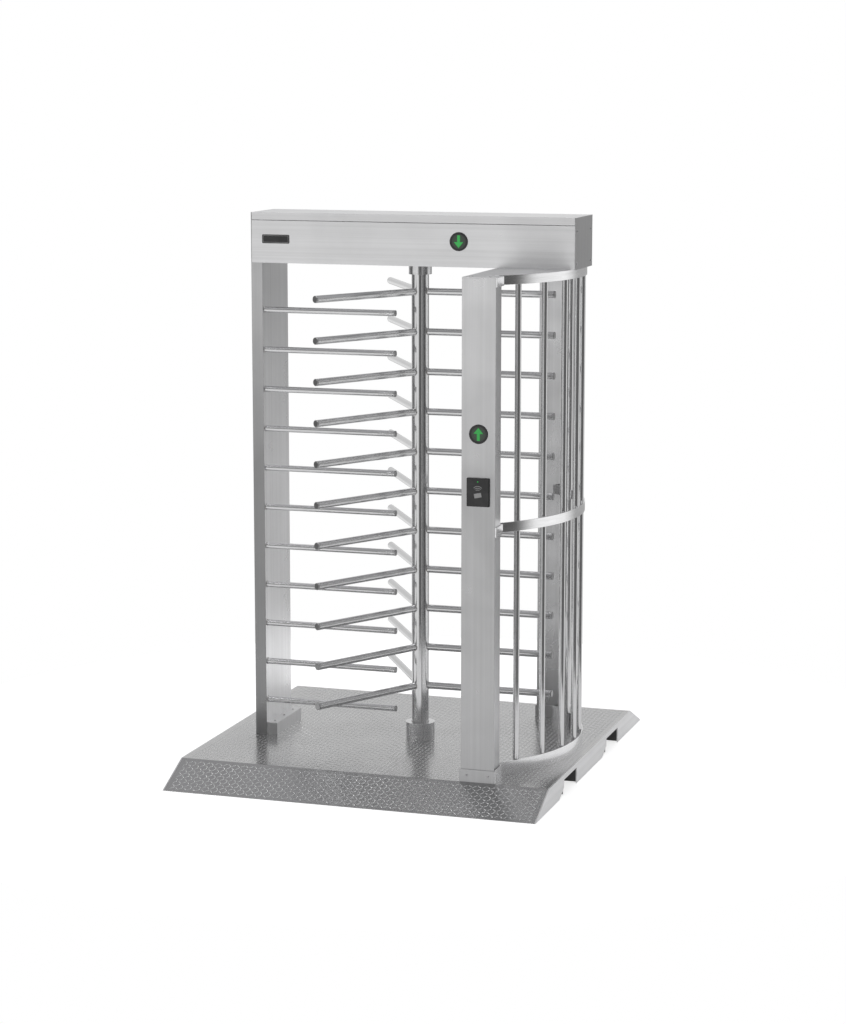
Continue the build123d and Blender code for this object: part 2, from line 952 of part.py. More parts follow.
def indicator_lenses():
    """Smoked disc in each signal."""
    discs = []
    for face, out, x, z in signal_places():
        y0, y1 = spanned_y(face, out, 0, indicator_proud - 1.5)
        discs.append(bar_y(indicator_radius - indicator_rim - 3, y0, y1, x, z))
    return discs


def indicator_arrows():
    """Lit arrow on each lens: down on the header, up on a column."""
    arrows = []
    half_height = arrow_height / 2
    for face, out, x, z in signal_places():
        point = -1 if z > column_indicator_z else 1
        y0, y1 = spanned_y(face, out, indicator_proud - 1.5, indicator_proud - 0.7)
        neck = z + point * (half_height - arrow_head)
        outline = [
            (x - arrow_stem / 2, z - point * half_height),
            (x + arrow_stem / 2, z - point * half_height),
            (x + arrow_stem / 2, neck),
            (x + arrow_width / 2, neck),
            (x, z + point * half_height),
            (x - arrow_width / 2, neck),
            (x - arrow_stem / 2, neck),
        ]
        face_shape = make_face(Polyline(*outline, close=True))
        arrow = extrude(Plane.XZ * face_shape, amount=y1 - y0)
        arrows.append(Pos(0, y1, 0) * arrow)
    return arrows


def card_readers():
    """Flat reader on the outer face of each column."""
    readers = []
    z = deck_top + reader_level
    for face, out in ((column_front, -1), (column_rear, 1)):
        y0, y1 = spanned_y(face, out, 0, reader_depth)
        reader = block(
            column_middle - reader_width / 2, column_middle + reader_width / 2,
            y0, y1, z - reader_height / 2, z + reader_height / 2,
        )
        reader = fillet(reader.edges().filter_by(Axis.Y), reader_corner)
        outer = reader.faces().sort_by(Axis.Y)[-1 if out > 0 else 0]
        readers.append(fillet(outer.edges(), 2))
    return readers


# ---------------------------------------------------------------- mechanism in the header
def involute(angle):
    """Involute function of an angle in radians."""
    return math.tan(angle) - angle


def gear_outline(teeth, x, y, turn=0.0):
    """Points round an involute spur gear, with a tooth pointing along `turn` degrees."""
    pitch = gear_module * teeth / 2
    pressure = math.radians(pressure_angle)
    base = pitch * math.cos(pressure)
    tip = pitch + addendum * gear_module
    root = pitch - dedendum * gear_module
    half = math.pi / (2 * teeth) - gear_backlash / (2 * pitch)
    start = max(base, root)
    radii = [start + (tip - start) * step / 3 for step in range(4)]
    flank = []
    for radius in radii:
        spread = half + involute(pressure) - involute(math.acos(min(1.0, base / radius)))
        flank.append((radius, spread))
    points = []
    for tooth in range(teeth):
        middle = math.radians(turn) + 2 * math.pi * tooth / teeth
        profile = [(root, -flank[0][1])] if root < base else []
        profile += [(radius, -spread) for radius, spread in flank]
        profile += [(radius, spread) for radius, spread in reversed(flank)]
        profile += [(root, flank[0][1])] if root < base else []
        for radius, spread in profile:
            points.append((x + radius * math.cos(middle + spread), y + radius * math.sin(middle + spread)))
    return points


def mechanism_bed():
    """Thick plate on the header floor, with the pivot posts pressed into it."""
    bed = block(
        rotor_x - bed_length / 2, rotor_x + bed_length / 2,
        rotor_y - bed_depth / 2, rotor_y + bed_depth / 2, header_floor, bed_top,
    )
    bed -= upright(shaft_radius + 8, header_floor - 1, bed_top + 1)
    for post in pivot_posts():
        bed += post
    return bed


def mechanism_screws():
    """Hexagon heads that hold the bed and the bearing housing."""
    places = []
    for x in (-1, 1):
        for y in (-1, 1):
            px = rotor_x + x * (bed_length / 2 - screw_inset)
            py = rotor_y + y * (bed_depth / 2 - screw_inset)
            places.append((px, py, bed_top))
    for angle in (45, 135, 225, 315):
        px = rotor_x + flange_screw_radius * math.cos(math.radians(angle))
        py = rotor_y + flange_screw_radius * math.sin(math.radians(angle))
        places.append((px, py, bed_top + flange_thickness))
    head = extrude(RegularPolygon(screw_head / 2, 6), amount=screw_height)
    return [Pos(*place) * head for place in places]


def drive_gear():
    """Large gear on the head shaft."""
    gear = along_z(gear_outline(drive_teeth, rotor_x, rotor_y), gear_bottom, gear_top)
    gear += upright(gear_hub_radius, housing_top + 1.5, gear_bottom)
    root = drive_pitch_radius - dedendum * gear_module
    hole_circle = (root + gear_hub_radius) / 2
    hole_radius = (root - gear_hub_radius) / 2 - gear_rim
    for step in range(gear_holes):
        angle = 2 * math.pi * (step + 0.5) / gear_holes
        x = rotor_x + hole_circle * math.cos(angle)
        y = rotor_y + hole_circle * math.sin(angle)
        gear -= upright(hole_radius, gear_bottom - 1, gear_top + 1, x, y)
    return gear - upright(shaft_radius, housing_top, gear_top + 1)


def damper_body():
    """Rotary oil damper that slows the rotor, with a lug at front and back."""
    body = upright(damper_radius, bed_top, gear_bottom - body_below_gear, damper_x)
    body = chamfer(body.edges().filter_by(GeomType.CIRCLE).sort_by(Axis.Z)[-1], 3)
    reach = damper_radius + damper_lug
    body += block(
        damper_x - damper_radius / 2, damper_x + damper_radius / 2,
        rotor_y - reach, rotor_y + reach, bed_top, bed_top + 5,
    )
    bore = damper_spindle_radius + running_clearance
    return body - upright(bore, bed_top + 10, gear_bottom, damper_x)


def damper_pinion():
    """Pinion and spindle of the damper."""
    pinion = along_z(gear_outline(damper_teeth, damper_x, rotor_y), gear_bottom, gear_top)
    return pinion + upright(damper_spindle_radius, bed_top + 12, gear_bottom, damper_x)


def encoder_body():
    """Pulse encoder that counts every third of a turn."""
    body = upright(encoder_radius, bed_top, gear_bottom - body_below_gear, encoder_x)
    inner = encoder_x - encoder_radius + encoder_socket_sunk
    body += block(
        inner - encoder_socket_length, inner,
        rotor_y - encoder_socket_width / 2, rotor_y + encoder_socket_width / 2,
        bed_top, bed_top + encoder_socket_height,
    )
    bore = encoder_spindle_radius + running_clearance
    return body - upright(bore, bed_top + 10, gear_bottom, encoder_x)


def encoder_pinion():
    """Pinion and spindle of the encoder."""
    turn = 180 / encoder_teeth
    pinion = along_z(gear_outline(encoder_teeth, encoder_x, rotor_y, turn), gear_bottom, gear_top)
    return pinion + upright(encoder_spindle_radius, bed_top + 12, gear_bottom, encoder_x)


def index_disc():
    """Notched disc that the lock pawls drop into."""
    disc = upright(disc_radius, disc_bottom, disc_top)
    disc += upright(disc_hub_radius, gear_top + 1, disc_top + disc_hub_proud)
    for step in range(notch_count):
        notch = block(
            rotor_x + disc_radius - notch_depth, rotor_x + disc_radius + 2,
            rotor_y - notch_width / 2, rotor_y + notch_width / 2,
            disc_bottom - 1, disc_top + 1,
        )
        disc -= turned(notch, 360 * step / notch_count)
    return disc - upright(shaft_radius, gear_top, disc_top + disc_hub_proud + 1)


def centring_cam():
    """Three-lobed cam that brings the rotor back to its rest position."""
    points = []
    for step in range(cam_points):
        angle = 2 * math.pi * step / cam_points
        radius = cam_base_radius - cam_lift * math.cos(3 * (angle - math.pi / 2))
        points.append((rotor_x + radius * math.cos(angle), rotor_y + radius * math.sin(angle)))
    cam = along_z(points, cam_bottom, cam_top)
    return cam - upright(shaft_radius, cam_bottom - 1, cam_top + 1)


# A pawl is laid out with its notch towards -Y of the rotor, at full engagement, then
# swung back to rest, turned 30 degrees to its own notch, and mirrored for the other one.
pawl_pivot_x = rotor_x + pawl_reach
pawl_pivot_y = rotor_y - pawl_stand_off
plunger_z = disc_top + 6
plunger_travel = pawl_lever * math.sin(math.radians(pawl_swing))


def placed_on_side(shape, side):
    """Turn a front layout to the entry side (1) or the exit side (-1)."""
    right = turned(shape, 30)
    return right if side > 0 else mirror(right, Plane.YZ.offset(rotor_x))


def lock_pawl(side):
    """Steel pawl at rest, clear of the index disc."""
    nose = disc_radius - notch_depth + nose_end_gap
    half = notch_width / 2 - nose_side_gap
    pawl = block(
        rotor_x - half, rotor_x + half,
        rotor_y - disc_radius - 10, rotor_y - nose, disc_bottom, disc_top,
    )
    pawl += block(
        rotor_x - half, pawl_pivot_x,
        rotor_y - disc_radius - 12, rotor_y - disc_radius - 3, disc_bottom, disc_top,
    )
    pawl += upright(pawl_boss_radius, disc_bottom, disc_top, pawl_pivot_x, pawl_pivot_y)
    tail = pawl_pivot_x + pawl_lever
    pawl += block(
        pawl_pivot_x, tail + pawl_slot_length / 2 + pawl_slot_wall,
        pawl_pivot_y - pawl_tail_width / 2, pawl_pivot_y + pawl_tail_width / 2,
        disc_bottom, disc_top,
    )
    pawl -= block(
        tail - pawl_slot_length / 2, tail + pawl_slot_length / 2,
        pawl_pivot_y - pawl_slot_width / 2, pawl_pivot_y + pawl_slot_width / 2,
        disc_bottom - 1, disc_top + 1,
    )
    pawl -= upright(
        pawl_post_radius + running_clearance, disc_bottom - 1, disc_top + 1, pawl_pivot_x, pawl_pivot_y,
    )
    return placed_on_side(turned(pawl, pawl_swing, pawl_pivot_x, pawl_pivot_y), side)


def lock_plunger(side):
    """Solenoid plunger with the pin that swings the pawl's tail."""
    x = pawl_pivot_x + pawl_lever
    y = pawl_pivot_y
    sunk = solenoid_start + solenoid_length - 8
    plunger = bar_y(plunger_radius, y - sunk, y - solenoid_start / 2, x, plunger_z)
    plunger += block(
        x - plunger_radius, x + plunger_radius,
        y - solenoid_start + 4, y + 5, disc_top + 1, disc_top + 4,
    )
    plunger += upright(plunger_pin_radius, disc_bottom + 2, disc_top + 1, x, y)
    return placed_on_side(Pos(0, plunger_travel, 0) * plunger, side)


def lock_solenoid(side):
    """Solenoid on its pedestal, with the bore that its plunger slides in."""
    x = pawl_pivot_x + pawl_lever
    y = pawl_pivot_y
    near = y - solenoid_start
    far = near - solenoid_length
    low = plunger_z - solenoid_width / 2 + 1
    high = plunger_z + solenoid_width / 2 - 1
    coil = block(x - solenoid_width / 2, x + solenoid_width / 2, far, near, low, high)
    coil = fillet(coil.edges().filter_by(Axis.Y), 3)
    coil -= bar_y(plunger_radius + running_clearance, far + 3, near + 1, x, plunger_z)
    middle = (near + far) / 2
    pedestal = block(
        x - pedestal_width / 2, x + pedestal_width / 2,
        middle - pedestal_length / 2, middle + pedestal_length / 2, bed_top, low,
    )
    return placed_on_side(coil + pedestal, side)


roller_y = rotor_y + cam_base_radius + cam_lift + roller_radius + roller_gap
arm_post_x = rotor_x + arm_post_right
arm_post_y = rotor_y + arm_post_back


def centring_arm():
    """Sprung lever that presses the roller on the cam."""
    span_x = arm_post_x - rotor_x
    span_y = arm_post_y - roller_y
    length = math.hypot(span_x, span_y)
    angle = math.degrees(math.atan2(span_y, span_x))
    z0 = arm_plate_bottom
    z1 = z0 + centring_arm_sheet
    bar = block(0, length, -centring_arm_width / 2, centring_arm_width / 2, z0, z1)
    arm = Pos(rotor_x, roller_y, 0) * Rot(0, 0, angle) * bar
    arm += upright(arm_post_radius + 5, z0, z1, arm_post_x, arm_post_y)
    arm += upright(centring_arm_width / 2 + 1, z0, z1, rotor_x, roller_y)
    arm += upright(roller_pin_radius, cam_bottom, z0, rotor_x, roller_y)
    arm += upright(roller_pin_head_radius, cam_bottom - 3, cam_bottom + 0.8, rotor_x, roller_y)
    return arm - upright(arm_post_radius + running_clearance, z0 - 1, z1 + 1, arm_post_x, arm_post_y)


def cam_roller():
    """Roller on the centring arm's pin."""
    return upright_ring(
        roller_radius, roller_pin_radius + running_clearance,
        cam_bottom + 1, cam_top - 1, rotor_x, roller_y,
    )


def pivot_posts():
    """Posts in the bed for the two pawls and the centring arm."""
    posts = []
    for side in (1, -1):
        post = upright(pawl_post_radius, bed_top, disc_top + 14, pawl_pivot_x, pawl_pivot_y)
        post += upright(
            pawl_post_radius + post_collar_proud, disc_bottom - 4, disc_bottom - 1,
            pawl_pivot_x, pawl_pivot_y,
        )
        posts.append(placed_on_side(post, side))
    top = arm_plate_bottom + centring_arm_sheet + 14
    post = upright(arm_post_radius, bed_top, top, arm_post_x, arm_post_y)
    post += upright(
        arm_post_radius + post_collar_proud, arm_plate_bottom - 4, arm_plate_bottom - 1,
        arm_post_x, arm_post_y,
    )
    posts.append(post)
    return posts


def coil_spring(radius, wire, bore, x, y, z):
    """Helical torsion spring wound on a bush that slips over a post."""
    path = Helix(pitch=2.4 * wire, height=9 * wire, radius=radius)
    section = Plane(origin=path @ 0, z_dir=path % 0) * Circle(wire)
    coil = Pos(x, y, z + 2 * wire) * sweep(section, path=path)
    return coil + upright_ring(radius + wire, bore + running_clearance, z, z + 1.5 * wire, x, y)


def return_springs():
    """Torsion springs above the pawls and the centring arm."""
    pawl_spring = coil_spring(
        7.5, 0.9, pawl_post_radius, pawl_pivot_x, pawl_pivot_y, disc_top + 3,
    )
    arm_spring = coil_spring(
        9, 1.3, arm_post_radius, arm_post_x, arm_post_y, arm_plate_bottom + 9,
    )
    return [placed_on_side(pawl_spring, 1), placed_on_side(pawl_spring, -1), arm_spring]


# ---------------------------------------------------------------- electronics
def control_board():
    """Circuit board with relays, terminals and a processor, on four pillars."""
    x0 = rotor_x + board_start
    x1 = x0 + board_length
    y0 = rotor_y - board_width / 2
    y1 = rotor_y + board_width / 2
    z = header_floor + board_stand_off
    top = z + board_sheet
    board = block(x0, x1, y0, y1, z, top)
    for step in range(relay_count):
        left = x0 + 14 + relay_pitch * step
        right = left + relay_length
        board += block(left, right, y0 + 12, y0 + 12 + relay_width, top, top + relay_height)
    for step in range(terminal_count):
        left = x0 + 12 + terminal_pitch * step
        right = left + terminal_length
        back = y1 - 4
        board += block(left, right, back - terminal_width, back, top, top + terminal_height)
    processor = block(x0 + 50, x0 + 72, y0 + 50, y0 + 72, top, top + 2)
    transformer = block(x0 + 90, x0 + 118, y0 + 48, y0 + 70, top, top + 3)
    board += processor + transformer
    for step in range(3):
        board += upright(5, top, top + 14, x0 + 134 + 13 * step, y0 + 60)
    for x in (x0 + 6, x1 - 6):
        for y in (y0 + 6, y1 - 6):
            board += upright(3.5, header_floor, z, x, y)
    return board


def power_supply():
    """Vented supply case with a terminal strip."""
    x0 = rotor_x + supply_start
    x1 = x0 + supply_length
    y0 = rotor_y - supply_width / 2
    y1 = rotor_y + supply_width / 2
    top = header_floor + supply_height
    ledge = header_floor + supply_step_height
    case = block(x0, x1, y0, y1, header_floor, top)
    for row in range(vent_rows):
        for column in range(vent_columns):
            x = x0 + 35 + vent_column_pitch * column
            y = y0 + 23 + vent_row_pitch * row
            case -= upright(vent_radius, top - vent_depth, top + 1, x, y)
    case -= block(x0 - 1, x0 + supply_step_length, y0 + 4, y1 - 4, ledge, top + 1)
    for step in range(supply_terminals):
        y = y0 + 10 + supply_terminal_pitch * step
        case += block(x0 + 2, x0 + supply_step_length - 1, y, y + 10, ledge, ledge + 12)
    return case


def counter_module():
    """Totaliser with a small window, for the number of people passed."""
    x0 = rotor_x + counter_start
    x1 = x0 + counter_length
    y0 = rotor_y - counter_width / 2
    y1 = rotor_y + counter_width / 2
    top = header_floor + counter_height
    floor = top - counter_window_depth
    case = fillet(block(x0, x1, y0, y1, header_floor, top).edges().filter_by(Axis.Z), 4)
    case -= block(x0 + 12, x1 - 12, y0 + 18, y1 - 18, floor, top + 1)
    for step in range(counter_wheels):
        left = x0 + 13.5 + counter_wheel_pitch * step
        case += block(left, left + counter_wheel_width, y0 + 20, y1 - 20, floor, top - 1)
    return case


def cable_gland():
    """Screwed gland in the header's rear wall, for the supply cable."""
    x = header_left + gland_from_end
    z = header_floor + gland_rise
    back = header_back
    gland = bar_y(gland_radius, back, back + 14, x, z)
    gland += bar_y(gland_radius - 2, back + 14, back + 22, x, z)
    hexagon = extrude(RegularPolygon(gland_nut_radius, 6), amount=5)
    nut = Pos(x, back + 5, z) * Rot(90, 0, 0) * hexagon
    return gland + nut - bar_y(gland_bore, back + 6, back + 23, x, z)


# ---------------------------------------------------------------- write every node
def main():
    os.makedirs("parts", exist_ok=True)

    save("deck_plate", deck_plate())
    save("end_plates", end_plate(-half_width), end_plate(inner_half_width))
    save("fork_channels", fork_channel(-1), fork_channel(1))
    save("platform_bearers", *bearers())
    save("platform_pads", *pads())

    save("left_post", left_post())
    save("comb_arms", *comb_arms())
    save("comb_arm_plugs", *comb_plugs())

    save("rotor_column", rotor_column())
    save("rotor_shafts", head_shaft(), foot_pivot())
    arm = wing_arm(top_arm_z)
    plug = wing_plug(top_arm_z)
    plugs = []
    for index in range(3):
        save(f"wing_{index + 1}_arms", *wing(arm, index))
        plugs.extend(wing(plug, index))
    save("rotor_arm_plugs", *plugs)
    save("index_disc", index_disc())
    save("drive_gear", drive_gear())
    save("centring_cam", centring_cam())

    save("floor_bearing_cup", floor_cup())
    save("top_collar", top_collar())
    save("head_bearing_housing", bearing_housing())
    save("rotor_bearings", floor_bearing(), head_bearing())

    save("header_trough", header_trough())
    left_end = lock_hole_in_left_end(header_end(header_left))
    save("header_end_plates", left_end, header_end(header_right - header_end_sheet))
    save("header_lid", header_lid())
    save("lid_hinges", *lid_hinges())
    save("lid_lock", lid_lock())
    save("name_plate", name_plate())

    save("mechanism_bed", mechanism_bed())
    save("mechanism_screws", *mechanism_screws())
    save("damper_body", damper_body())
    save("damper_pinion", damper_pinion())
    save("encoder_body", encoder_body())
    save("encoder_pinion", encoder_pinion())
    save("lock_pawl_entry", lock_pawl(1))
    save("lock_pawl_exit", lock_pawl(-1))
    save("lock_plunger_entry", lock_plunger(1))
    save("lock_plunger_exit", lock_plunger(-1))
    save("lock_solenoids", lock_solenoid(1), lock_solenoid(-1))
    save("centring_arm", centring_arm())
    save("cam_roller", cam_roller())
    save("return_springs", *return_springs())
    save("control_board", control_board())
    save("power_supply", power_supply())
    save("counter_module", counter_module())
    save("cable_gland", cable_gland())

    save("front_column", front_column())
    save("rear_column", cage_column(column_rear, column_inner_rear))
    save("column_door", column_door())
    save("door_lock", door_lock())
    save(
        "post_feet",
        post_foot(),
        column_foot(column_front, column_inner_front),
        column_foot(column_rear, column_inner_rear),
    )
    save("roof_plate", roof_plate())
    levels = band_levels()
    for node, (low, high) in zip(("band_top", "band_middle", "band_bottom"), levels):
        save(node, cage_band(low, high))
    brackets = []
    for low, high in levels:
        brackets.append(band_bracket(-1, low, high))
        brackets.append(band_bracket(1, low, high))
    save("band_brackets", *brackets)
    save("cage_tubes", *cage_tubes())

    save("indicator_bezels", *indicator_bezels())
    save("indicator_lenses", *indicator_lenses())
    save("indicator_arrows", *indicator_arrows())
    save("card_readers", *card_readers())


main()
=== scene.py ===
import math

import bpy
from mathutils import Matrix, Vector


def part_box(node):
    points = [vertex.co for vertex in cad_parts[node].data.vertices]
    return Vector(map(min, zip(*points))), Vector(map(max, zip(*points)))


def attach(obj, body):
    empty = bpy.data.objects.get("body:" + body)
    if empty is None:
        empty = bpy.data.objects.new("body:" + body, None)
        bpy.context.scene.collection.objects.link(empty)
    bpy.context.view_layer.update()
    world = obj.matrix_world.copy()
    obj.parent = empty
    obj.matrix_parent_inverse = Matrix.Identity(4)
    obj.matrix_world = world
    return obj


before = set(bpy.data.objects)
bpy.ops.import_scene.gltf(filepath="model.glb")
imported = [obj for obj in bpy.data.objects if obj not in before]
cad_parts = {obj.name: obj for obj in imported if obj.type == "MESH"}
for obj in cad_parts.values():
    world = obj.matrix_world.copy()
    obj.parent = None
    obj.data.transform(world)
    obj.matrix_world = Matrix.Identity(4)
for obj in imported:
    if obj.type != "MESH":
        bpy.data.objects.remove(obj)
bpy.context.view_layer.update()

scene = bpy.context.scene

# ---------------------------------------------------------------- platform sheet
# One stainless tread sheet is folded down at front and back into two ramps.
# The mill rolls its lugs in pairs that lean opposite ways.
# The sheet is bead blasted, and feet polish the tops of the lugs.


def new_group(name, inputs, outputs):
    """An empty shader node group; each socket is (name, kind, default)."""
    group = bpy.data.node_groups.new(name, "ShaderNodeTree")
    for title, kind, value in inputs:
        socket = group.interface.new_socket(title, in_out="INPUT", socket_type=kind)
        if value is not None:
            socket.default_value = value
    for title, kind in outputs:
        group.interface.new_socket(title, in_out="OUTPUT", socket_type=kind)
    entry = group.nodes.new("NodeGroupInput")
    exit_ = group.nodes.new("NodeGroupOutput")
    return group, entry, exit_


def math_node(tree, operation, first, second=None, clamp=False):
    """One Math node, fed by sockets or numbers."""
    node = tree.nodes.new("ShaderNodeMath")
    node.operation = operation
    node.use_clamp = clamp
    for socket, value in zip(node.inputs, (first, second)):
        if value is None:
            continue
        if isinstance(value, (int, float)):
            socket.default_value = value
        else:
            tree.links.new(value, socket)
    return node.outputs[0]


def ramp_node(tree, factor, *stops):
    """A colour ramp through (position, grey or colour) stops."""
    node = tree.nodes.new("ShaderNodeValToRGB")
    while len(node.color_ramp.elements) < len(stops):
        node.color_ramp.elements.new(0.5)
    for element, (position, tone) in zip(node.color_ramp.elements, stops):
        element.position = position
        element.color = (tone, tone, tone, 1) if isinstance(tone, float) else (*tone, 1)
    tree.links.new(factor, node.inputs[0])
    return node.outputs[0]


def noise_node(tree, vector, scale, detail=3.0, roughness=0.5):
    """Fractal noise from 0 to 1."""
    node = tree.nodes.new("ShaderNodeTexNoise")
    node.inputs["Scale"].default_value = scale
    node.inputs["Detail"].default_value = detail
    node.inputs["Roughness"].default_value = roughness
    tree.links.new(vector, node.inputs["Vector"])
    return node.outputs[0]


def make_edge_group():
    """Rounds sharp folds in the shading, and gives a mask of the edges; some finishes use it for real
    wear, others to paint highlights along the edges.
    """
    group, entry, exit_ = new_group(
        "worn edges and painted edge highlights",
        [("Radius", "NodeSocketFloat", 0.0015), ("Reach", "NodeSocketFloat", 0.35)],
        [("Edge", "NodeSocketFloat"), ("Normal", "NodeSocketVector")],
    )
    bevel = group.nodes.new("ShaderNodeBevel")
    bevel.samples = 4
    group.links.new(entry.outputs["Radius"], bevel.inputs["Radius"])
    geometry = group.nodes.new("ShaderNodeNewGeometry")
    dot = group.nodes.new("ShaderNodeVectorMath")
    dot.operation = "DOT_PRODUCT"
    group.links.new(bevel.outputs[0], dot.inputs[0])
    group.links.new(geometry.outputs["Normal"], dot.inputs[1])
    away = math_node(group, "SUBTRACT", 1.0, dot.outputs["Value"], clamp=True)
    edge = math_node(group, "DIVIDE", away, entry.outputs["Reach"], clamp=True)
    group.links.new(edge, exit_.inputs["Edge"])
    group.links.new(bevel.outputs[0], exit_.inputs["Normal"])
    return group


def make_grain_group():
    """Scratch grain left by an abrasive belt: streaks along the least stretched axis."""
    group, entry, exit_ = new_group(
        "belt grain",
        [
            ("Stretch", "NodeSocketVector", (3.0, 500.0, 500.0)),
            ("Turn", "NodeSocketFloat", 0.0),
            ("Depth", "NodeSocketFloat", 0.00002),
            ("Base Normal", "NodeSocketVector", None),
        ],
        [("Streak", "NodeSocketFloat"), ("Cloud", "NodeSocketFloat"), ("Normal", "NodeSocketVector")],
    )
    place = group.nodes.new("ShaderNodeTexCoord")
    turn = group.nodes.new("ShaderNodeVectorRotate")
    turn.rotation_type = "Z_AXIS"
    group.links.new(place.outputs["Object"], turn.inputs["Vector"])
    group.links.new(entry.outputs["Turn"], turn.inputs["Angle"])
    stretch = group.nodes.new("ShaderNodeVectorMath")
    stretch.operation = "MULTIPLY"
    group.links.new(turn.outputs[0], stretch.inputs[0])
    group.links.new(entry.outputs["Stretch"], stretch.inputs[1])
    fine = noise_node(group, stretch.outputs[0], 1.0, 4.0, 0.7)
    broad = noise_node(group, stretch.outputs[0], 0.12, 2.0, 0.6)
    both = math_node(group, "MULTIPLY_ADD", broad, 0.6)
    group.links.new(math_node(group, "MULTIPLY", fine, 0.4), both.node.inputs[2])
    cloud = noise_node(group, turn.outputs[0], 3.1, 4.0, 0.6)
    bump = group.nodes.new("ShaderNodeBump")
    bump.inputs["Strength"].default_value = 1.0
    group.links.new(entry.outputs["Depth"], bump.inputs["Distance"])
    group.links.new(both, bump.inputs["Height"])
    group.links.new(entry.outputs["Base Normal"], bump.inputs["Normal"])
    group.links.new(both, exit_.inputs["Streak"])
    group.links.new(cloud, exit_.inputs["Cloud"])
    group.links.new(bump.outputs[0], exit_.inputs["Normal"])
    return group


def make_smudge_group():
    """Soft blotches from hands and cleaning cloths, and fine random scratches."""
    group, entry, exit_ = new_group(
        "handling marks",
        [("Scale", "NodeSocketFloat", 5.0)],
        [("Smudge", "NodeSocketFloat"), ("Scratch", "NodeSocketFloat")],
    )
    place = group.nodes.new("ShaderNodeTexCoord")
    blotch = group.nodes.new("ShaderNodeTexNoise")
    blotch.inputs["Detail"].default_value = 5.0
    blotch.inputs["Distortion"].default_value = 0.8
    group.links.new(place.outputs["Object"], blotch.inputs["Vector"])
    group.links.new(entry.outputs["Scale"], blotch.inputs["Scale"])
    smudge = ramp_node(group, blotch.outputs[0], (0.42, 0.0), (0.68, 1.0))
    cells = group.nodes.new("ShaderNodeTexVoronoi")
    cells.feature = "DISTANCE_TO_EDGE"
    twisted = group.nodes.new("ShaderNodeVectorMath")
    twisted.operation = "MULTIPLY"
    twisted.inputs[1].default_value = (9.0, 31.0, 17.0)
    group.links.new(place.outputs["Object"], twisted.inputs[0])
    group.links.new(twisted.outputs[0], cells.inputs["Vector"])
    cells.inputs["Scale"].default_value = 1.0
    scratch = ramp_node(group, cells.outputs["Distance"], (0.0, 1.0), (0.012, 0.0))
    group.links.new(smudge, exit_.inputs["Smudge"])
    group.links.new(scratch, exit_.inputs["Scratch"])
    return group


edge_group = make_edge_group()
grain_group = make_grain_group()
smudge_group = make_smudge_group()


def new_material(name):
    """A node material with its Principled shader, ready for its own nodes."""
    material = bpy.data.materials.new(name)
    material.use_nodes = True
    return material, material.node_tree, material.node_tree.nodes["Principled BSDF"]


def use_group(tree, group, **values):
    """One placed node group, with its own values."""
    node = tree.nodes.new("ShaderNodeGroup")
    node.node_tree = group
    for title, value in values.items():
        node.inputs[title.replace("_", " ")].default_value = value
    return node


def mix_colour(tree, factor, first, second, blend="MIX"):
    """Mixes two colours, sockets or values, by a factor."""
    node = tree.nodes.new("ShaderNodeMix")
    node.data_type = "RGBA"
    node.blend_type = blend
    for socket, value in ((node.inputs[0], factor), (node.inputs[6], first), (node.inputs[7], second)):
        if isinstance(value, (int, float)):
            socket.default_value = value
        elif isinstance(value, tuple):
            socket.default_value = (*value, 1)
        else:
            tree.links.new(value, socket)
    return node.outputs[2]


def dress(node, material):
    """Gives a CAD node its finish."""
    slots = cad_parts[node].data.materials
    slots.clear()
    slots.append(material)


tread_steel, tree, shader = new_material("tread sheet, bead blasted")
edges = use_group(tree, edge_group, Radius=0.002)
marks = use_group(tree, smudge_group, Scale=2.3)
place = tree.nodes.new("ShaderNodeTexCoord")
grit = noise_node(tree, place.outputs["Object"], 260.0, 5.0, 0.7)
patches = noise_node(tree, place.outputs["Object"], 1.7, 4.0, 0.55)
blasted = ramp_node(tree, grit, (0.3, 0.50), (0.7, 0.66))
patchy = ramp_node(tree, patches, (0.35, 0.66), (0.65, 0.78))
shaded = mix_colour(tree, 0.35, blasted, patchy, "MULTIPLY")
dust = math_node(tree, "MULTIPLY", marks.outputs["Smudge"], 0.18)
dusty = mix_colour(tree, dust, shaded, (0.40, 0.39, 0.38))
rubbed = math_node(tree, "MULTIPLY", edges.outputs["Edge"], 0.6)
worn = mix_colour(tree, rubbed, dusty, (0.82, 0.82, 0.83))
tree.links.new(worn, shader.inputs["Base Color"])
shader.inputs["Metallic"].default_value = 1.0
rough = math_node(tree, "MULTIPLY_ADD", grit, 0.12)
rough.node.inputs[2].default_value = 0.16
tree.links.new(rough, shader.inputs["Roughness"])
bump = tree.nodes.new("ShaderNodeBump")
bump.inputs["Distance"].default_value = 0.00006
tree.links.new(grit, bump.inputs["Height"])
tree.links.new(edges.outputs["Normal"], bump.inputs["Normal"])
tree.links.new(bump.outputs[0], shader.inputs["Normal"])
dress("deck_plate", tread_steel)

# ---------------------------------------------------------------- tread lugs
# Each lug is a lens-shaped bar, 21 mm long, rolled up out of the sheet.
# Four make a cell that leans both ways, and the cells fill the deck and both ramps.
# Their tops are polished by shoes and wheels.
lug_length = 0.021
lug_width = 0.0062
lug_height = 0.0009
lug_step = 0.0195
deck_low, deck_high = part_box("deck_plate")
deck_level = deck_high.z
ramp_run = 0.206           # along the floor
deck_half = deck_high.y - ramp_run

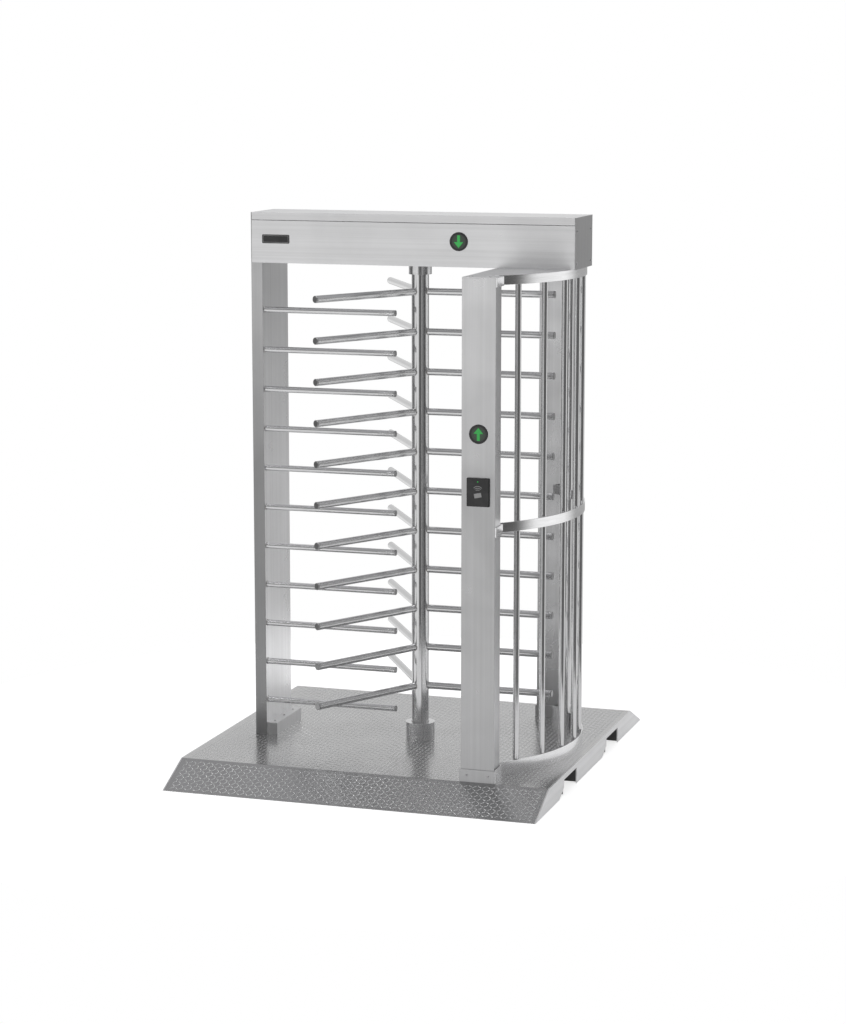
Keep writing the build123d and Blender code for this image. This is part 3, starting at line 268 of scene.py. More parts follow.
lug_steel, tree, shader = new_material("tread lugs, polished tops")
edges = use_group(tree, edge_group, Radius=0.0012)
place = tree.nodes.new("ShaderNodeTexCoord")
wear = noise_node(tree, place.outputs["Object"], 2.4, 4.0, 0.6)
grit = noise_node(tree, place.outputs["Object"], 420.0, 3.0, 0.6)
tops = ramp_node(tree, wear, (0.35, 0.62), (0.65, 0.80))
speckle = ramp_node(tree, grit, (0.3, 0.6), (0.7, 1.0))
tree.links.new(mix_colour(tree, 0.25, tops, speckle, "MULTIPLY"), shader.inputs["Base Color"])
shader.inputs["Metallic"].default_value = 1.0
rough = math_node(tree, "MULTIPLY_ADD", wear, -0.14)
rough.node.inputs[2].default_value = 0.28
tree.links.new(rough, shader.inputs["Roughness"])
bump = tree.nodes.new("ShaderNodeBump")
bump.inputs["Distance"].default_value = 0.0001
tree.links.new(grit, bump.inputs["Height"])
tree.links.new(edges.outputs["Normal"], bump.inputs["Normal"])
tree.links.new(bump.outputs[0], shader.inputs["Normal"])


def only(piece):
    """Leaves one object selected and active."""
    bpy.ops.object.select_all(action="DESELECT")
    piece.select_set(True)
    bpy.context.view_layer.objects.active = piece


def settle(piece):
    """Puts an object's place and size into its mesh."""
    only(piece)
    bpy.ops.object.transform_apply(location=True, rotation=True, scale=True)
    return piece


def pick_faces(piece, wanted):
    """In edit mode, selects the faces whose centre and normal pass a test."""
    bpy.ops.object.mode_set(mode="EDIT")
    bpy.ops.mesh.select_mode(type="FACE")
    bpy.ops.mesh.select_all(action="DESELECT")
    bpy.ops.object.mode_set(mode="OBJECT")
    for face in piece.data.polygons:
        face.select = wanted(face.center, face.normal)
    bpy.ops.object.mode_set(mode="EDIT")


def joined(pieces, name):
    """Joins meshes into one named object."""
    bpy.ops.object.select_all(action="DESELECT")
    for piece in pieces:
        piece.select_set(True)
    bpy.context.view_layer.objects.active = pieces[0]
    bpy.ops.object.join()
    pieces[0].name = name
    return pieces[0]


def copy_of(piece):
    """A copy with its own mesh."""
    twin = piece.copy()
    twin.data = piece.data.copy()
    scene.collection.objects.link(twin)
    return twin


def finished(piece, name, material, body):
    """Names, dresses and seats a piece on its body."""
    settle(piece)
    piece.name = name
    piece.data.name = name
    piece.data.materials.clear()
    piece.data.materials.append(material)
    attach(piece, body)
    return piece


def one_lug(x, y, lean):
    """A single lug, drawn in at its top and open underneath."""
    bpy.ops.object.select_all(action="DESELECT")
    bpy.ops.mesh.primitive_cylinder_add(
        vertices=8, radius=0.5, depth=lug_height, end_fill_type="NGON", location=(0, 0, lug_height / 2),
    )
    lug = bpy.context.object
    lug.scale = (lug_length, lug_width, 1)
    settle(lug)
    pick_faces(lug, lambda centre, normal: normal.z > 0.9)
    bpy.ops.transform.resize(value=(0.72, 0.45, 1))
    pick_faces(lug, lambda centre, normal: normal.z < -0.9)
    bpy.ops.mesh.delete(type="ONLY_FACE")
    bpy.ops.object.mode_set(mode="OBJECT")
    lug.rotation_euler = (0, 0, lean)
    lug.location = (x, y, 0)
    return settle(lug)


def lug_field(name, cells_x, cells_y):
    """A field of lug cells, centred on X, that starts at Y 0."""
    lean = math.radians(45)
    cell = [
        one_lug(0, 0, lean),
        one_lug(lug_step, 0, -lean),
        one_lug(0, lug_step, -lean),
        one_lug(lug_step, lug_step, lean),
    ]
    field = joined(cell, name)
    for axis, count in ((0, cells_x), (1, cells_y)):
        array = field.modifiers.new("repeat", "ARRAY")
        array.use_relative_offset = False
        array.use_constant_offset = True
        array.constant_offset_displace = (0, 0, 0)
        array.constant_offset_displace[axis] = 2 * lug_step
        array.count = count
        bpy.ops.object.modifier_apply(modifier=array.name)
    field.location.x = -(cells_x - 0.5) * lug_step
    return settle(field)


cells_across = round((deck_high.x - deck_low.x - lug_width) / (2 * lug_step) - 0.5)
cells_along = round((2 * deck_half - lug_width) / (2 * lug_step) - 0.5)
deck_lugs = lug_field("deck_lugs", cells_across, cells_along)
deck_lugs.location = (0, -(cells_along - 0.5) * lug_step, deck_level)
finished(deck_lugs, "deck_lugs", lug_steel, "frame")

ramp_length = math.hypot(ramp_run, deck_level)
ramp_slope = math.atan2(deck_level, ramp_run)
ramp_cells = round((ramp_length - lug_width) / (2 * lug_step) - 0.5)
ramp_margin = (ramp_length - (2 * ramp_cells - 1) * lug_step) / 2
for side, name in ((-1, "front_ramp_lugs"), (1, "rear_ramp_lugs")):
    lugs = lug_field(name, cells_across, ramp_cells)
    lugs.location.y = ramp_margin
    settle(lugs)
    lugs.rotation_euler = (ramp_slope, 0, 0)
    settle(lugs)
    if side > 0:
        lugs.rotation_euler = (0, 0, math.pi)
        settle(lugs)
    lugs.location = (0, side * deck_high.y, 0)
    finished(lugs, name, lug_steel, "frame")

# ---------------------------------------------------------------- platform sides
# Laser-cut satin side plates close the platform, notched for a lift truck's forks.
# Channels and bearers behind them are in matt dark primer.
# Rubber pads keep the frame off the floor.


def paint_face_light(tree, colour, front, side):
    """Paints light and shade into the colour: front and side faces are scaled to different tones, each
    from a low to a high strength up the part, standing in for how the light falls on each face.
    """
    geometry = tree.nodes.new("ShaderNodeNewGeometry")
    facing = tree.nodes.new("ShaderNodeSeparateXYZ")
    tree.links.new(geometry.outputs["True Normal"], facing.inputs[0])
    spot = tree.nodes.new("ShaderNodeTexCoord")
    level = tree.nodes.new("ShaderNodeSeparateXYZ")
    tree.links.new(spot.outputs["Object"], level.inputs[0])
    rise = ramp_node(tree, math_node(tree, "DIVIDE", level.outputs["Z"], 2.4), (0.50, 0.0), (0.85, 1.0))
    for axis, (low, high) in (("Y", front), ("X", side)):
        strength = math_node(tree, "MULTIPLY_ADD", rise, high - low)
        strength.node.inputs[2].default_value = low
        faces = math_node(tree, "ABSOLUTE", facing.outputs[axis])
        scale = tree.nodes.new("ShaderNodeVectorMath")
        scale.operation = "SCALE"
        tree.links.new(colour, scale.inputs[0])
        tree.links.new(strength, scale.inputs["Scale"])
        # Painted light and shade: a face that points along this axis takes the scaled tone.
        colour = mix_colour(tree, math_node(tree, "GREATER_THAN", faces, 0.7), colour, scale.outputs[0])
    return colour


def sheet_steel(
    name, tone, stretch, turn=0.0, roughness=0.28, depth=0.00002, spread=0.14, front=(1, 1), side=(1, 1),
):
    """Stainless sheet or bar with a belt grain and smudges, with painted highlights along its edges, and
    painted light and shade on its front and side faces where those tones differ.
    """
    material, tree, shader = new_material(name)
    edges = use_group(tree, edge_group, Radius=0.0018)
    grain = use_group(tree, grain_group, Stretch=stretch, Turn=turn, Depth=depth)
    tree.links.new(edges.outputs["Normal"], grain.inputs["Base Normal"])
    marks = use_group(tree, smudge_group, Scale=4.0)
    low = tuple(tone * shade for shade in (0.90, 0.90, 0.905))
    high = tuple(min(1.0, tone * shade) for shade in (1.06, 1.06, 1.07))
    streaked = ramp_node(tree, grain.outputs["Streak"], (0.3, low), (0.7, high))
    haze = math_node(tree, "MULTIPLY", marks.outputs["Smudge"], 0.10)
    hazed = mix_colour(tree, haze, streaked, tuple(0.82 * part for part in low))
    # Painted highlight: the colour is lightened towards pale grey along the edges.
    bright = mix_colour(
        tree, math_node(tree, "MULTIPLY", edges.outputs["Edge"], 0.5), hazed, (0.88, 0.88, 0.89),
    )
    # Painted light and shade: front and side faces get their own tones, changing up the part.
    if front != side:
        bright = paint_face_light(tree, bright, front, side)
    tree.links.new(bright, shader.inputs["Base Color"])
    shader.inputs["Metallic"].default_value = 1.0
    wander = math_node(tree, "MULTIPLY_ADD", grain.outputs["Cloud"], spread)
    wander.node.inputs[2].default_value = roughness - spread / 2
    hazy = math_node(tree, "MULTIPLY_ADD", marks.outputs["Smudge"], 0.05)
    tree.links.new(wander, hazy.node.inputs[2])
    tree.links.new(hazy, shader.inputs["Roughness"])
    tree.links.new(grain.outputs["Normal"], shader.inputs["Normal"])
    return material


def primer(name, colour, roughness):
    """Sprayed primer or paint with orange peel, dust and rubbed edges."""
    material, tree, shader = new_material(name)
    edges = use_group(tree, edge_group, Radius=0.0015)
    marks = use_group(tree, smudge_group, Scale=6.0)
    place = tree.nodes.new("ShaderNodeTexCoord")
    peel = noise_node(tree, place.outputs["Object"], 320.0, 2.0, 0.5)
    lighter = tuple(0.7 * part + 0.12 for part in colour)
    dust = math_node(tree, "MULTIPLY", marks.outputs["Smudge"], 0.35)
    dusted = mix_colour(tree, dust, colour, lighter)
    rub = math_node(tree, "MULTIPLY", edges.outputs["Edge"], 0.35)
    rubbed = mix_colour(tree, rub, dusted, tuple(part + 0.2 for part in colour))
    tree.links.new(rubbed, shader.inputs["Base Color"])
    uneven = math_node(tree, "MULTIPLY_ADD", marks.outputs["Smudge"], 0.18)
    uneven.node.inputs[2].default_value = roughness
    tree.links.new(uneven, shader.inputs["Roughness"])
    bump = tree.nodes.new("ShaderNodeBump")
    bump.inputs["Distance"].default_value = 0.0001
    tree.links.new(peel, bump.inputs["Height"])
    tree.links.new(edges.outputs["Normal"], bump.inputs["Normal"])
    tree.links.new(bump.outputs[0], shader.inputs["Normal"])
    return material


side_steel = sheet_steel("side plates, satin", 0.76, (500.0, 3.0, 500.0), roughness=0.36)
dress("end_plates", side_steel)
dark_primer = primer("dark primer", (0.028, 0.028, 0.030), 0.55)
dress("fork_channels", dark_primer)
dress("platform_bearers", dark_primer)
rubber = primer("moulded rubber", (0.018, 0.018, 0.018), 0.72)
dress("platform_pads", rubber)

# ---------------------------------------------------------------- comb post
# A deep box post folded from satin sheet, with its grain upright.
# A folded foot along its inner base is screwed to the deck.
# Both sheets carry painted light and shade: their front and side faces are given different tones that
# change with height, for the post, its feet and the cage columns.
post_steel = sheet_steel(
    "satin post sheet with painted face light", 0.64, (500.0, 500.0, 2.5), front=(0.46, 0.86), side=(1.5, 0.95),
)
upright_steel = sheet_steel(
    "satin upright sheet with painted face light", 0.64, (500.0, 500.0, 2.5), front=(0.78, 1.18), side=(1.15, 1.0),
)
dress("left_post", post_steel)
dress("post_feet", upright_steel)

# ---------------------------------------------------------------- comb arms
# Polished tubes are welded into the post's inner face, and turned plugs close their ends.
# Each weld is a small ring of filler with a rippled face.
tube_along_x = sheet_steel(
    "polished tube, lengthwise", 0.68, (2.0, 700.0, 700.0), roughness=0.12, depth=0.00001, spread=0.05,
)
dress("comb_arms", tube_along_x)


def moulded(name, colour, roughness, grain=900.0):
    """Moulded plastic: fine spark texture and faint dust, with a painted highlight, a soft lightening of
    the colour, along its edges.
    """
    material, tree, shader = new_material(name)
    edges = use_group(tree, edge_group, Radius=0.0008)
    marks = use_group(tree, smudge_group, Scale=14.0)
    place = tree.nodes.new("ShaderNodeTexCoord")
    spark = noise_node(tree, place.outputs["Object"], grain, 2.0, 0.6)
    paler = tuple(0.85 * part + 0.035 for part in colour)
    tinted = mix_colour(tree, math_node(tree, "MULTIPLY", marks.outputs["Smudge"], 0.5), colour, paler)
    # Painted highlight: the colour is lifted along the edges.
    sheen = math_node(tree, "MULTIPLY", edges.outputs["Edge"], 0.4)
    lifted = mix_colour(tree, sheen, tinted, tuple(part + 0.06 for part in colour))
    tree.links.new(lifted, shader.inputs["Base Color"])
    uneven = math_node(tree, "MULTIPLY_ADD", spark, 0.16)
    uneven.node.inputs[2].default_value = roughness
    tree.links.new(uneven, shader.inputs["Roughness"])
    bump = tree.nodes.new("ShaderNodeBump")
    bump.inputs["Distance"].default_value = 0.00006
    tree.links.new(spark, bump.inputs["Height"])
    tree.links.new(edges.outputs["Normal"], bump.inputs["Normal"])
    tree.links.new(bump.outputs[0], shader.inputs["Normal"])
    return material


plug_steel = sheet_steel("turned end plugs", 0.42, (60.0, 900.0, 900.0), roughness=0.30, spread=0.08)
dress("comb_arm_plugs", plug_steel)

weld_steel, tree, shader = new_material("weld filler, rippled")
place = tree.nodes.new("ShaderNodeTexCoord")
ripple = tree.nodes.new("ShaderNodeTexVoronoi")
ripple.inputs["Scale"].default_value = 420.0
tree.links.new(place.outputs["Object"], ripple.inputs["Vector"])
tint = noise_node(tree, place.outputs["Object"], 60.0, 3.0, 0.6)
filler = ramp_node(
    tree, tint, (0.3, (0.50, 0.47, 0.44)), (0.55, (0.66, 0.65, 0.64)), (0.75, (0.55, 0.57, 0.62)),
)
tree.links.new(filler, shader.inputs["Base Color"])
shader.inputs["Metallic"].default_value = 1.0
matt = math_node(tree, "MULTIPLY_ADD", tint, 0.2)
matt.node.inputs[2].default_value = 0.25
tree.links.new(matt, shader.inputs["Roughness"])
bump = tree.nodes.new("ShaderNodeBump")
bump.inputs["Distance"].default_value = 0.0004
tree.links.new(ripple.outputs["Distance"], bump.inputs["Height"])
tree.links.new(bump.outputs[0], shader.inputs["Normal"])


def weld_ring(tube_radius, bead=0.0016):
    """A ring of filler round a tube that lies along X, centred on the origin."""
    bpy.ops.object.select_all(action="DESELECT")
    bpy.ops.mesh.primitive_torus_add(
        major_segments=20, minor_segments=6, major_radius=tube_radius + bead / 3, minor_radius=bead,
        rotation=(0, math.pi / 2, 0),
    )
    return settle(bpy.context.object)


comb_low, comb_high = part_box("comb_arms")
comb_radius = (comb_high.y - comb_low.y) / 2
comb_y = (comb_high.y + comb_low.y) / 2
post_low, post_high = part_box("left_post")
arm_rows = 11
row_step = (comb_high.z - comb_low.z - 2 * comb_radius) / (arm_rows - 1)
ring = weld_ring(comb_radius)
rings = []
for row in range(arm_rows):
    twin = copy_of(ring)
    twin.location = (post_high.x, comb_y, comb_low.z + comb_radius + row * row_step)
    rings.append(settle(twin))
bpy.data.objects.remove(ring)
finished(joined(rings, "comb_welds"), "comb_welds", weld_steel, "frame")
bpy.ops.object.shade_smooth()

# ---------------------------------------------------------------- rotor column and wings
# A round tube carries three wings of eleven arms, coped and welded to it.
# All are polished tube, and turned plugs close the arms' ends.
rotor_low, rotor_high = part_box("rotor_column")
rotor_axis = (rotor_low + rotor_high) / 2
rotor_radius = (rotor_high.x - rotor_low.x) / 2
wing_lean = math.radians(1)
column_tube = sheet_steel(
    "polished tube, upright", 0.70, (700.0, 700.0, 2.0), roughness=0.11, depth=0.00001, spread=0.05,
)
dress("rotor_column", column_tube)
for index in range(3):
    along = wing_lean + math.radians(120 * index)
    wing_tube = sheet_steel(
        f"polished tube, wing {index + 1}", 0.66, (2.0, 700.0, 700.0), turn=-along,
        roughness=0.12, depth=0.00001, spread=0.05,
    )
    dress(f"wing_{index + 1}_arms", wing_tube)
dress("rotor_arm_plugs", plug_steel)

wing_low, wing_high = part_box("wing_1_arms")
arm_radius = (wing_high.z - wing_low.z - (arm_rows - 1) * row_step) / 2
ring = weld_ring(arm_radius)
saddle = rotor_radius - math.sqrt(rotor_radius**2 - arm_radius**2)
saddle_steps = 4
weld_lift = 0.0004
for step in range(saddle_steps):
    height = arm_radius * (1 - (step + 1) / (saddle_steps + 1))
    pick_faces(ring, lambda centre, normal: abs(centre.y) > height)
    bpy.ops.transform.translate(value=(-saddle / saddle_steps, 0, 0))
    bpy.ops.object.mode_set(mode="OBJECT")
rings = []
for index in range(3):
    along = wing_lean + math.radians(120 * index)
    for row in range(arm_rows):
        twin = copy_of(ring)
        twin.rotation_euler = (0, 0, along)
        out = rotor_radius + weld_lift
        twin.location = (
            rotor_axis.x + out * math.cos(along),
            rotor_axis.y + out * math.sin(along),
            wing_low.z + arm_radius + row * row_step,
        )
        rings.append(settle(twin))
bpy.data.objects.remove(ring)
finished(joined(rings, "rotor_welds"), "rotor_welds", weld_steel, "rotor")
bpy.ops.object.shade_smooth()

# ---------------------------------------------------------------- bearings and collars
# A turned cup on the deck hides the floor bearing, and a shroud under the header the upper one.
# Both are polished like the column.
turned_along_z = sheet_steel(
    "turned collars", 0.70, (40.0, 40.0, 900.0), roughness=0.18, depth=0.00001, spread=0.05,
)
dress("floor_bearing_cup", turned_along_z)
dress("top_collar", turned_along_z)
bright_turned = sheet_steel("turned steel, bright", 0.62, (60.0, 60.0, 1200.0), roughness=0.20)
for node in ("rotor_shafts", "rotor_bearings", "cam_roller"):
    dress(node, bright_turned)
for node in ("drive_gear", "damper_pinion", "encoder_pinion"):
    dress(node, bright_turned)

# ---------------------------------------------------------------- header
# A folded trough, two end plates and a hinged lid make the beam, with the grain along it.
# The lid's rear hinges are zinc plated, and its key lock is turned.
beam_steel = sheet_steel("header sheet, satin", 0.83, (2.5, 500.0, 500.0), roughness=0.30)
dress("header_trough", beam_steel)
dress("header_lid", beam_steel)
end_steel = sheet_steel("header ends, satin", 0.46, (500.0, 500.0, 2.5), roughness=0.28)
dress("header_end_plates", end_steel)
plated = sheet_steel("zinc plate", 0.60, (90.0, 90.0, 90.0), roughness=0.34, depth=0.00003)
for node in ("lid_hinges", "mechanism_bed", "mechanism_screws", "centring_arm", "power_supply"):
    dress(node, plated)
for node in ("lid_lock", "door_lock", "lock_plunger_entry", "lock_plunger_exit"):
    dress(node, bright_turned)
gloss_black = moulded("gloss black moulding", (0.012, 0.012, 0.013), 0.10, grain=300.0)
dress("name_plate", gloss_black)

# ---------------------------------------------------------------- mechanism
# The header's floor carries a lock, a damper and a counter, driven by one gear on the rotor.
# Castings are painted, cases are anodised or moulded, and working faces are ground.
hardened = sheet_steel("hardened steel, ground", 0.36, (300.0, 300.0, 300.0), roughness=0.30)
for node in ("index_disc", "centring_cam", "lock_pawl_entry", "lock_pawl_exit", "return_springs"):
    dress(node, hardened)
dress("head_bearing_housing", primer("casting paint", (0.10, 0.11, 0.12), 0.45))
anodised = sheet_steel("dark anodising", 0.16, (400.0, 400.0, 400.0), roughness=0.38)
dress("damper_body", anodised)
dress("encoder_body", anodised)
dress("lock_solenoids", moulded("solenoid case", (0.05, 0.07, 0.11), 0.35))
dress("counter_module", moulded("counter case", (0.22, 0.23, 0.24), 0.45))
dress("cable_gland", moulded("black nylon", (0.022, 0.022, 0.024), 0.42))

board_mask, tree, shader = new_material("circuit board")
place = tree.nodes.new("ShaderNodeTexCoord")
tracks = tree.nodes.new("ShaderNodeTexBrick")
tracks.inputs["Scale"].default_value = 60.0
tracks.inputs["Mortar Size"].default_value = 0.03
tracks.inputs["Color1"].default_value = (0.010, 0.10, 0.045, 1)
tracks.inputs["Color2"].default_value = (0.014, 0.13, 0.055, 1)
tracks.inputs["Mortar"].default_value = (0.05, 0.26, 0.12, 1)
tree.links.new(place.outputs["Object"], tracks.inputs["Vector"])
tree.links.new(tracks.outputs["Color"], shader.inputs["Base Color"])
varnish = ramp_node(tree, tracks.outputs["Fac"], (0.0, 0.32), (1.0, 0.22))
tree.links.new(varnish, shader.inputs["Roughness"])
dress("control_board", board_mask)

# ---------------------------------------------------------------- cage
# Two box columns, a roof plate, three rolled bands and seven upright tubes.
# The bands are satin flat bar, and the tubes match the rotor.
# The columns and the column door use the upright sheet, with its painted light and shade on front and
# side faces.
for node in ("front_column", "rear_column", "column_door"):
    dress(node, upright_steel)
roof_steel = sheet_steel("roof sheet, satin", 0.90, (2.5, 500.0, 500.0), roughness=0.32)
dress("roof_plate", roof_steel)
band_steel = sheet_steel("rolled flat bar", 0.93, (60.0, 60.0, 700.0), roughness=0.17, spread=0.08)
for node in ("band_top", "band_middle", "band_bottom", "band_brackets"):
    dress(node, band_steel)
dress("cage_tubes", column_tube)

# ---------------------------------------------------------------- fasteners
# Small button-head socket screws in stainless steel hold the feet, column caps and header ends.
# Each is turned, with a pressed socket and a low dome.
bolt_steel = sheet_steel("button heads", 0.58, (260.0, 260.0, 260.0), roughness=0.22, depth=0.00001)
bolt_radius = 0.0046
bolt_height = 0.0026


def button_head():
    """One button head that stands on the origin and points up."""
    bpy.ops.object.select_all(action="DESELECT")
    bpy.ops.mesh.primitive_cylinder_add(
        vertices=18, radius=bolt_radius, depth=bolt_height, location=(0, 0, bolt_height / 2),
    )
    head = settle(bpy.context.object)
    pick_faces(head, lambda centre, normal: normal.z > 0.9)
    bpy.ops.transform.translate(value=(0, 0, -bolt_height * 0.4))
    bpy.ops.mesh.extrude_region_move(TRANSFORM_OT_translate={"value": (0, 0, bolt_height * 0.3)})
    bpy.ops.transform.resize(value=(0.84, 0.84, 1))
    bpy.ops.mesh.inset(thickness=bolt_radius * 0.2)
    bpy.ops.transform.translate(value=(0, 0, bolt_height * 0.1))
    bpy.ops.mesh.inset(thickness=bolt_radius * 0.24)
    bpy.ops.mesh.extrude_region_move(TRANSFORM_OT_translate={"value": (0, 0, -bolt_height * 0.6)})
    bpy.ops.object.mode_set(mode="OBJECT")
    return head


template = button_head()


def bolts(name, places, facing):
    """Copies of the head at some places, all facing one way."""
    turned_to = Vector(facing).to_track_quat("Z", "Y").to_euler()
    heads = []
    for place in places:
        head = copy_of(template)
        head.rotation_euler = turned_to
        head.location = place
        heads.append(settle(head))
    return finished(joined(heads, name), name, bolt_steel, "frame")


column_low, column_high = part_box("front_column")
rear_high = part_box("rear_column")[1]
foot_proud = 0.003
foot_level = deck_level + 0.028
foot_inset = 0.025
across = (column_low.x + foot_inset, column_high.x - foot_inset)
bolts(
    "front_foot_bolts", [(x, column_low.y - foot_proud, foot_level) for x in across],
    (0, -1, 0),
)
bolts(
    "rear_foot_bolts", [(x, rear_high.y + foot_proud, foot_level) for x in across],
    (0, 1, 0),
)
feet_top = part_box("post_feet")[1].z
foot_middle = post_high.x + 0.023
end_inset = 0.04
along = (post_low.y + end_inset, (post_low.y + post_high.y) / 2, post_high.y - end_inset)
bolts("post_foot_bolts", [(foot_middle, y, feet_top) for y in along], (0, 0, 1))
roof_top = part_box("roof_plate")[1].z
cap_inset = 0.034
cap_places = []
for x in (column_low.x + cap_inset, column_high.x - cap_inset):
    cap_places.append((x, column_low.y + cap_inset, roof_top))
    cap_places.append((x, rear_high.y - cap_inset, roof_top))
bolts("roof_bolts", cap_places, (0, 0, 1))
beam_low, beam_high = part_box("header_end_plates")
corner_inset = 0.024
below_lid = 0.056
corners = []
for y in (beam_low.y + corner_inset, beam_high.y - corner_inset):
    for z in (beam_low.z + corner_inset, beam_high.z - below_lid):
        corners.append((y, z))
left_places = [(beam_low.x, y, z) for y, z in corners]
right_places = [(beam_high.x, y, z) for y, z in corners]
bolts("left_end_screws", left_places, (-1, 0, 0))
bolts("right_end_screws", right_places, (1, 0, 0))
bpy.data.objects.remove(template)

# ---------------------------------------------------------------- signals and readers
# Round lamps show which way is open, behind smoked lenses in black rims.
# A flat card reader in gloss black is on each column's outer face.
dress("indicator_bezels", gloss_black)
lens, tree, shader = new_material("smoked lens")
place = tree.nodes.new("ShaderNodeTexCoord")
prisms = tree.nodes.new("ShaderNodeTexVoronoi")
prisms.inputs["Scale"].default_value = 380.0
tree.links.new(place.outputs["Object"], prisms.inputs["Vector"])
smoke = ramp_node(tree, prisms.outputs["Distance"], (0.0, 0.03), (0.8, 0.055))
tree.links.new(smoke, shader.inputs["Base Color"])
frosting = ramp_node(tree, prisms.outputs["Distance"], (0.0, 0.12), (0.8, 0.2))
tree.links.new(frosting, shader.inputs["Roughness"])
lens_radius = 0.031
lens_low, lens_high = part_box("indicator_lenses")
centres = (
    (lens_low.x + lens_radius, lens_high.z - lens_radius),
    (lens_high.x - lens_radius, lens_low.z + lens_radius),
)
spot = tree.nodes.new("ShaderNodeSeparateXYZ")
tree.links.new(place.outputs["Object"], spot.inputs[0])
nearest = 1.0
for lamp_x, lamp_z in centres:
    side = math_node(tree, "POWER", math_node(tree, "SUBTRACT", spot.outputs["X"], lamp_x), 2.0)
    rise = math_node(tree, "POWER", math_node(tree, "SUBTRACT", spot.outputs["Z"], lamp_z), 2.0)
    away = math_node(tree, "SQRT", math_node(tree, "ADD", side, rise))
    nearest = math_node(tree, "MINIMUM", away, nearest)
spill = math_node(tree, "DIVIDE", nearest, lens_radius, clamp=True)
halo = ramp_node(
    tree, spill,
    (0.0, (0.010, 0.095, 0.020)), (0.6, (0.005, 0.045, 0.010)), (1.0, (0.002, 0.010, 0.003)),
)
tree.links.new(halo, shader.inputs["Emission Color"])
shader.inputs["Emission Strength"].default_value = 0.5
dress("indicator_lenses", lens)

lit, tree, shader = new_material("green lamp")
place = tree.nodes.new("ShaderNodeTexCoord")
dots = tree.nodes.new("ShaderNodeTexVoronoi")
dots.inputs["Scale"].default_value = 240.0
dots.inputs["Randomness"].default_value = 0.0
tree.links.new(place.outputs["Object"], dots.inputs["Vector"])
glow = ramp_node(
    tree, dots.outputs["Distance"],
    (0.0, (0.06, 0.44, 0.11)), (0.45, (0.025, 0.30, 0.06)), (0.8, (0.012, 0.20, 0.035)),
)
tree.links.new(glow, shader.inputs["Emission Color"])
shader.inputs["Emission Strength"].default_value = 0.7
tree.links.new(mix_colour(tree, 0.5, glow, (0.02, 0.2, 0.03)), shader.inputs["Base Color"])
shader.inputs["Roughness"].default_value = 0.25
dress("indicator_arrows", lit)
dress("card_readers", gloss_black)

# ---------------------------------------------------------------- reader print and lamps
# Each reader shows a card held under three arcs, screen printed in pale grey.
# A small green ready lamp is moulded into its top.
print_grey, tree, shader = new_material("pale print")
place = tree.nodes.new("ShaderNodeTexCoord")
rubbing = noise_node(tree, place.outputs["Object"], 320.0, 4.0, 0.6)
tree.links.new(ramp_node(tree, rubbing, (0.3, 0.34), (0.7, 0.46)), shader.inputs["Base Color"])
tree.links.new(ramp_node(tree, rubbing, (0.3, 0.30), (0.7, 0.42)), shader.inputs["Roughness"])
print_proud = 0.0003
reader_low, reader_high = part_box("card_readers")
reader_x = (reader_low.x + reader_high.x) / 2
reader_z = (reader_low.z + reader_high.z) / 2
stroke = 0.0011
strokes = []
for arc_radius in (0.010, 0.017, 0.024):
    bpy.ops.object.select_all(action="DESELECT")
    bpy.ops.mesh.primitive_torus_add(
        major_segments=48, minor_segments=4, major_radius=arc_radius, minor_radius=stroke,
        rotation=(math.pi / 2, 0, 0),
    )
    arc = settle(bpy.context.object)
    pick_faces(arc, lambda centre, normal: centre.z < 0.72 * math.hypot(centre.x, centre.z))
    bpy.ops.mesh.delete(type="FACE")
    bpy.ops.object.mode_set(mode="OBJECT")
    arc.scale = (1, print_proud / stroke, 1)
    arc.location = (0, 0, 0.001)
    strokes.append(settle(arc))
bpy.ops.object.select_all(action="DESELECT")
bpy.ops.mesh.primitive_cube_add(size=1, location=(0, 0, -0.012))
card = bpy.context.object
card.scale = (0.030, 2 * print_proud, 0.018)
card.rotation_euler = (0, math.radians(-12), 0)
strokes.append(settle(card))
front_mark = joined(strokes, "reader_mark")
rear_mark = copy_of(front_mark)
rear_mark.rotation_euler = (0, 0, math.pi)
front_mark.location = (reader_x, reader_low.y, reader_z)
rear_mark.location = (reader_x, reader_high.y, reader_z)
settle(front_mark)
settle(rear_mark)
both_marks = joined([front_mark, rear_mark], "reader_marks")
finished(both_marks, "reader_marks", print_grey, "frame")
lamps = []
for lamp_y in (reader_low.y, reader_high.y):
    bpy.ops.object.select_all(action="DESELECT")
    bpy.ops.mesh.primitive_uv_sphere_add(
        segments=16, ring_count=8, radius=0.0028, location=(reader_x, lamp_y, reader_high.z - 0.014),
    )
    lamps.append(settle(bpy.context.object))
finished(joined(lamps, "reader_lamps"), "reader_lamps", lit, "frame")
bpy.ops.object.shade_smooth()

# ---------------------------------------------------------------- name plate border
# The black plate is blank inside a thin printed border.
plate_margin = 0.004
plate_low, plate_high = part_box("name_plate")
bpy.ops.object.select_all(action="DESELECT")
bpy.ops.mesh.primitive_cube_add(size=1, location=(
    (plate_low.x + plate_high.x) / 2, plate_low.y - print_proud / 2, (plate_low.z + plate_high.z) / 2,
))
border = bpy.context.object
border.scale = (
    plate_high.x - plate_low.x - 2 * plate_margin, print_proud,
    plate_high.z - plate_low.z - 2 * plate_margin,
)
settle(border)
pick_faces(border, lambda centre, normal: abs(normal.y) > 0.9)
bpy.ops.mesh.inset(thickness=0.0012)
bpy.ops.mesh.delete(type="FACE")
bpy.ops.object.mode_set(mode="OBJECT")
finished(border, "plate_border", print_grey, "frame")

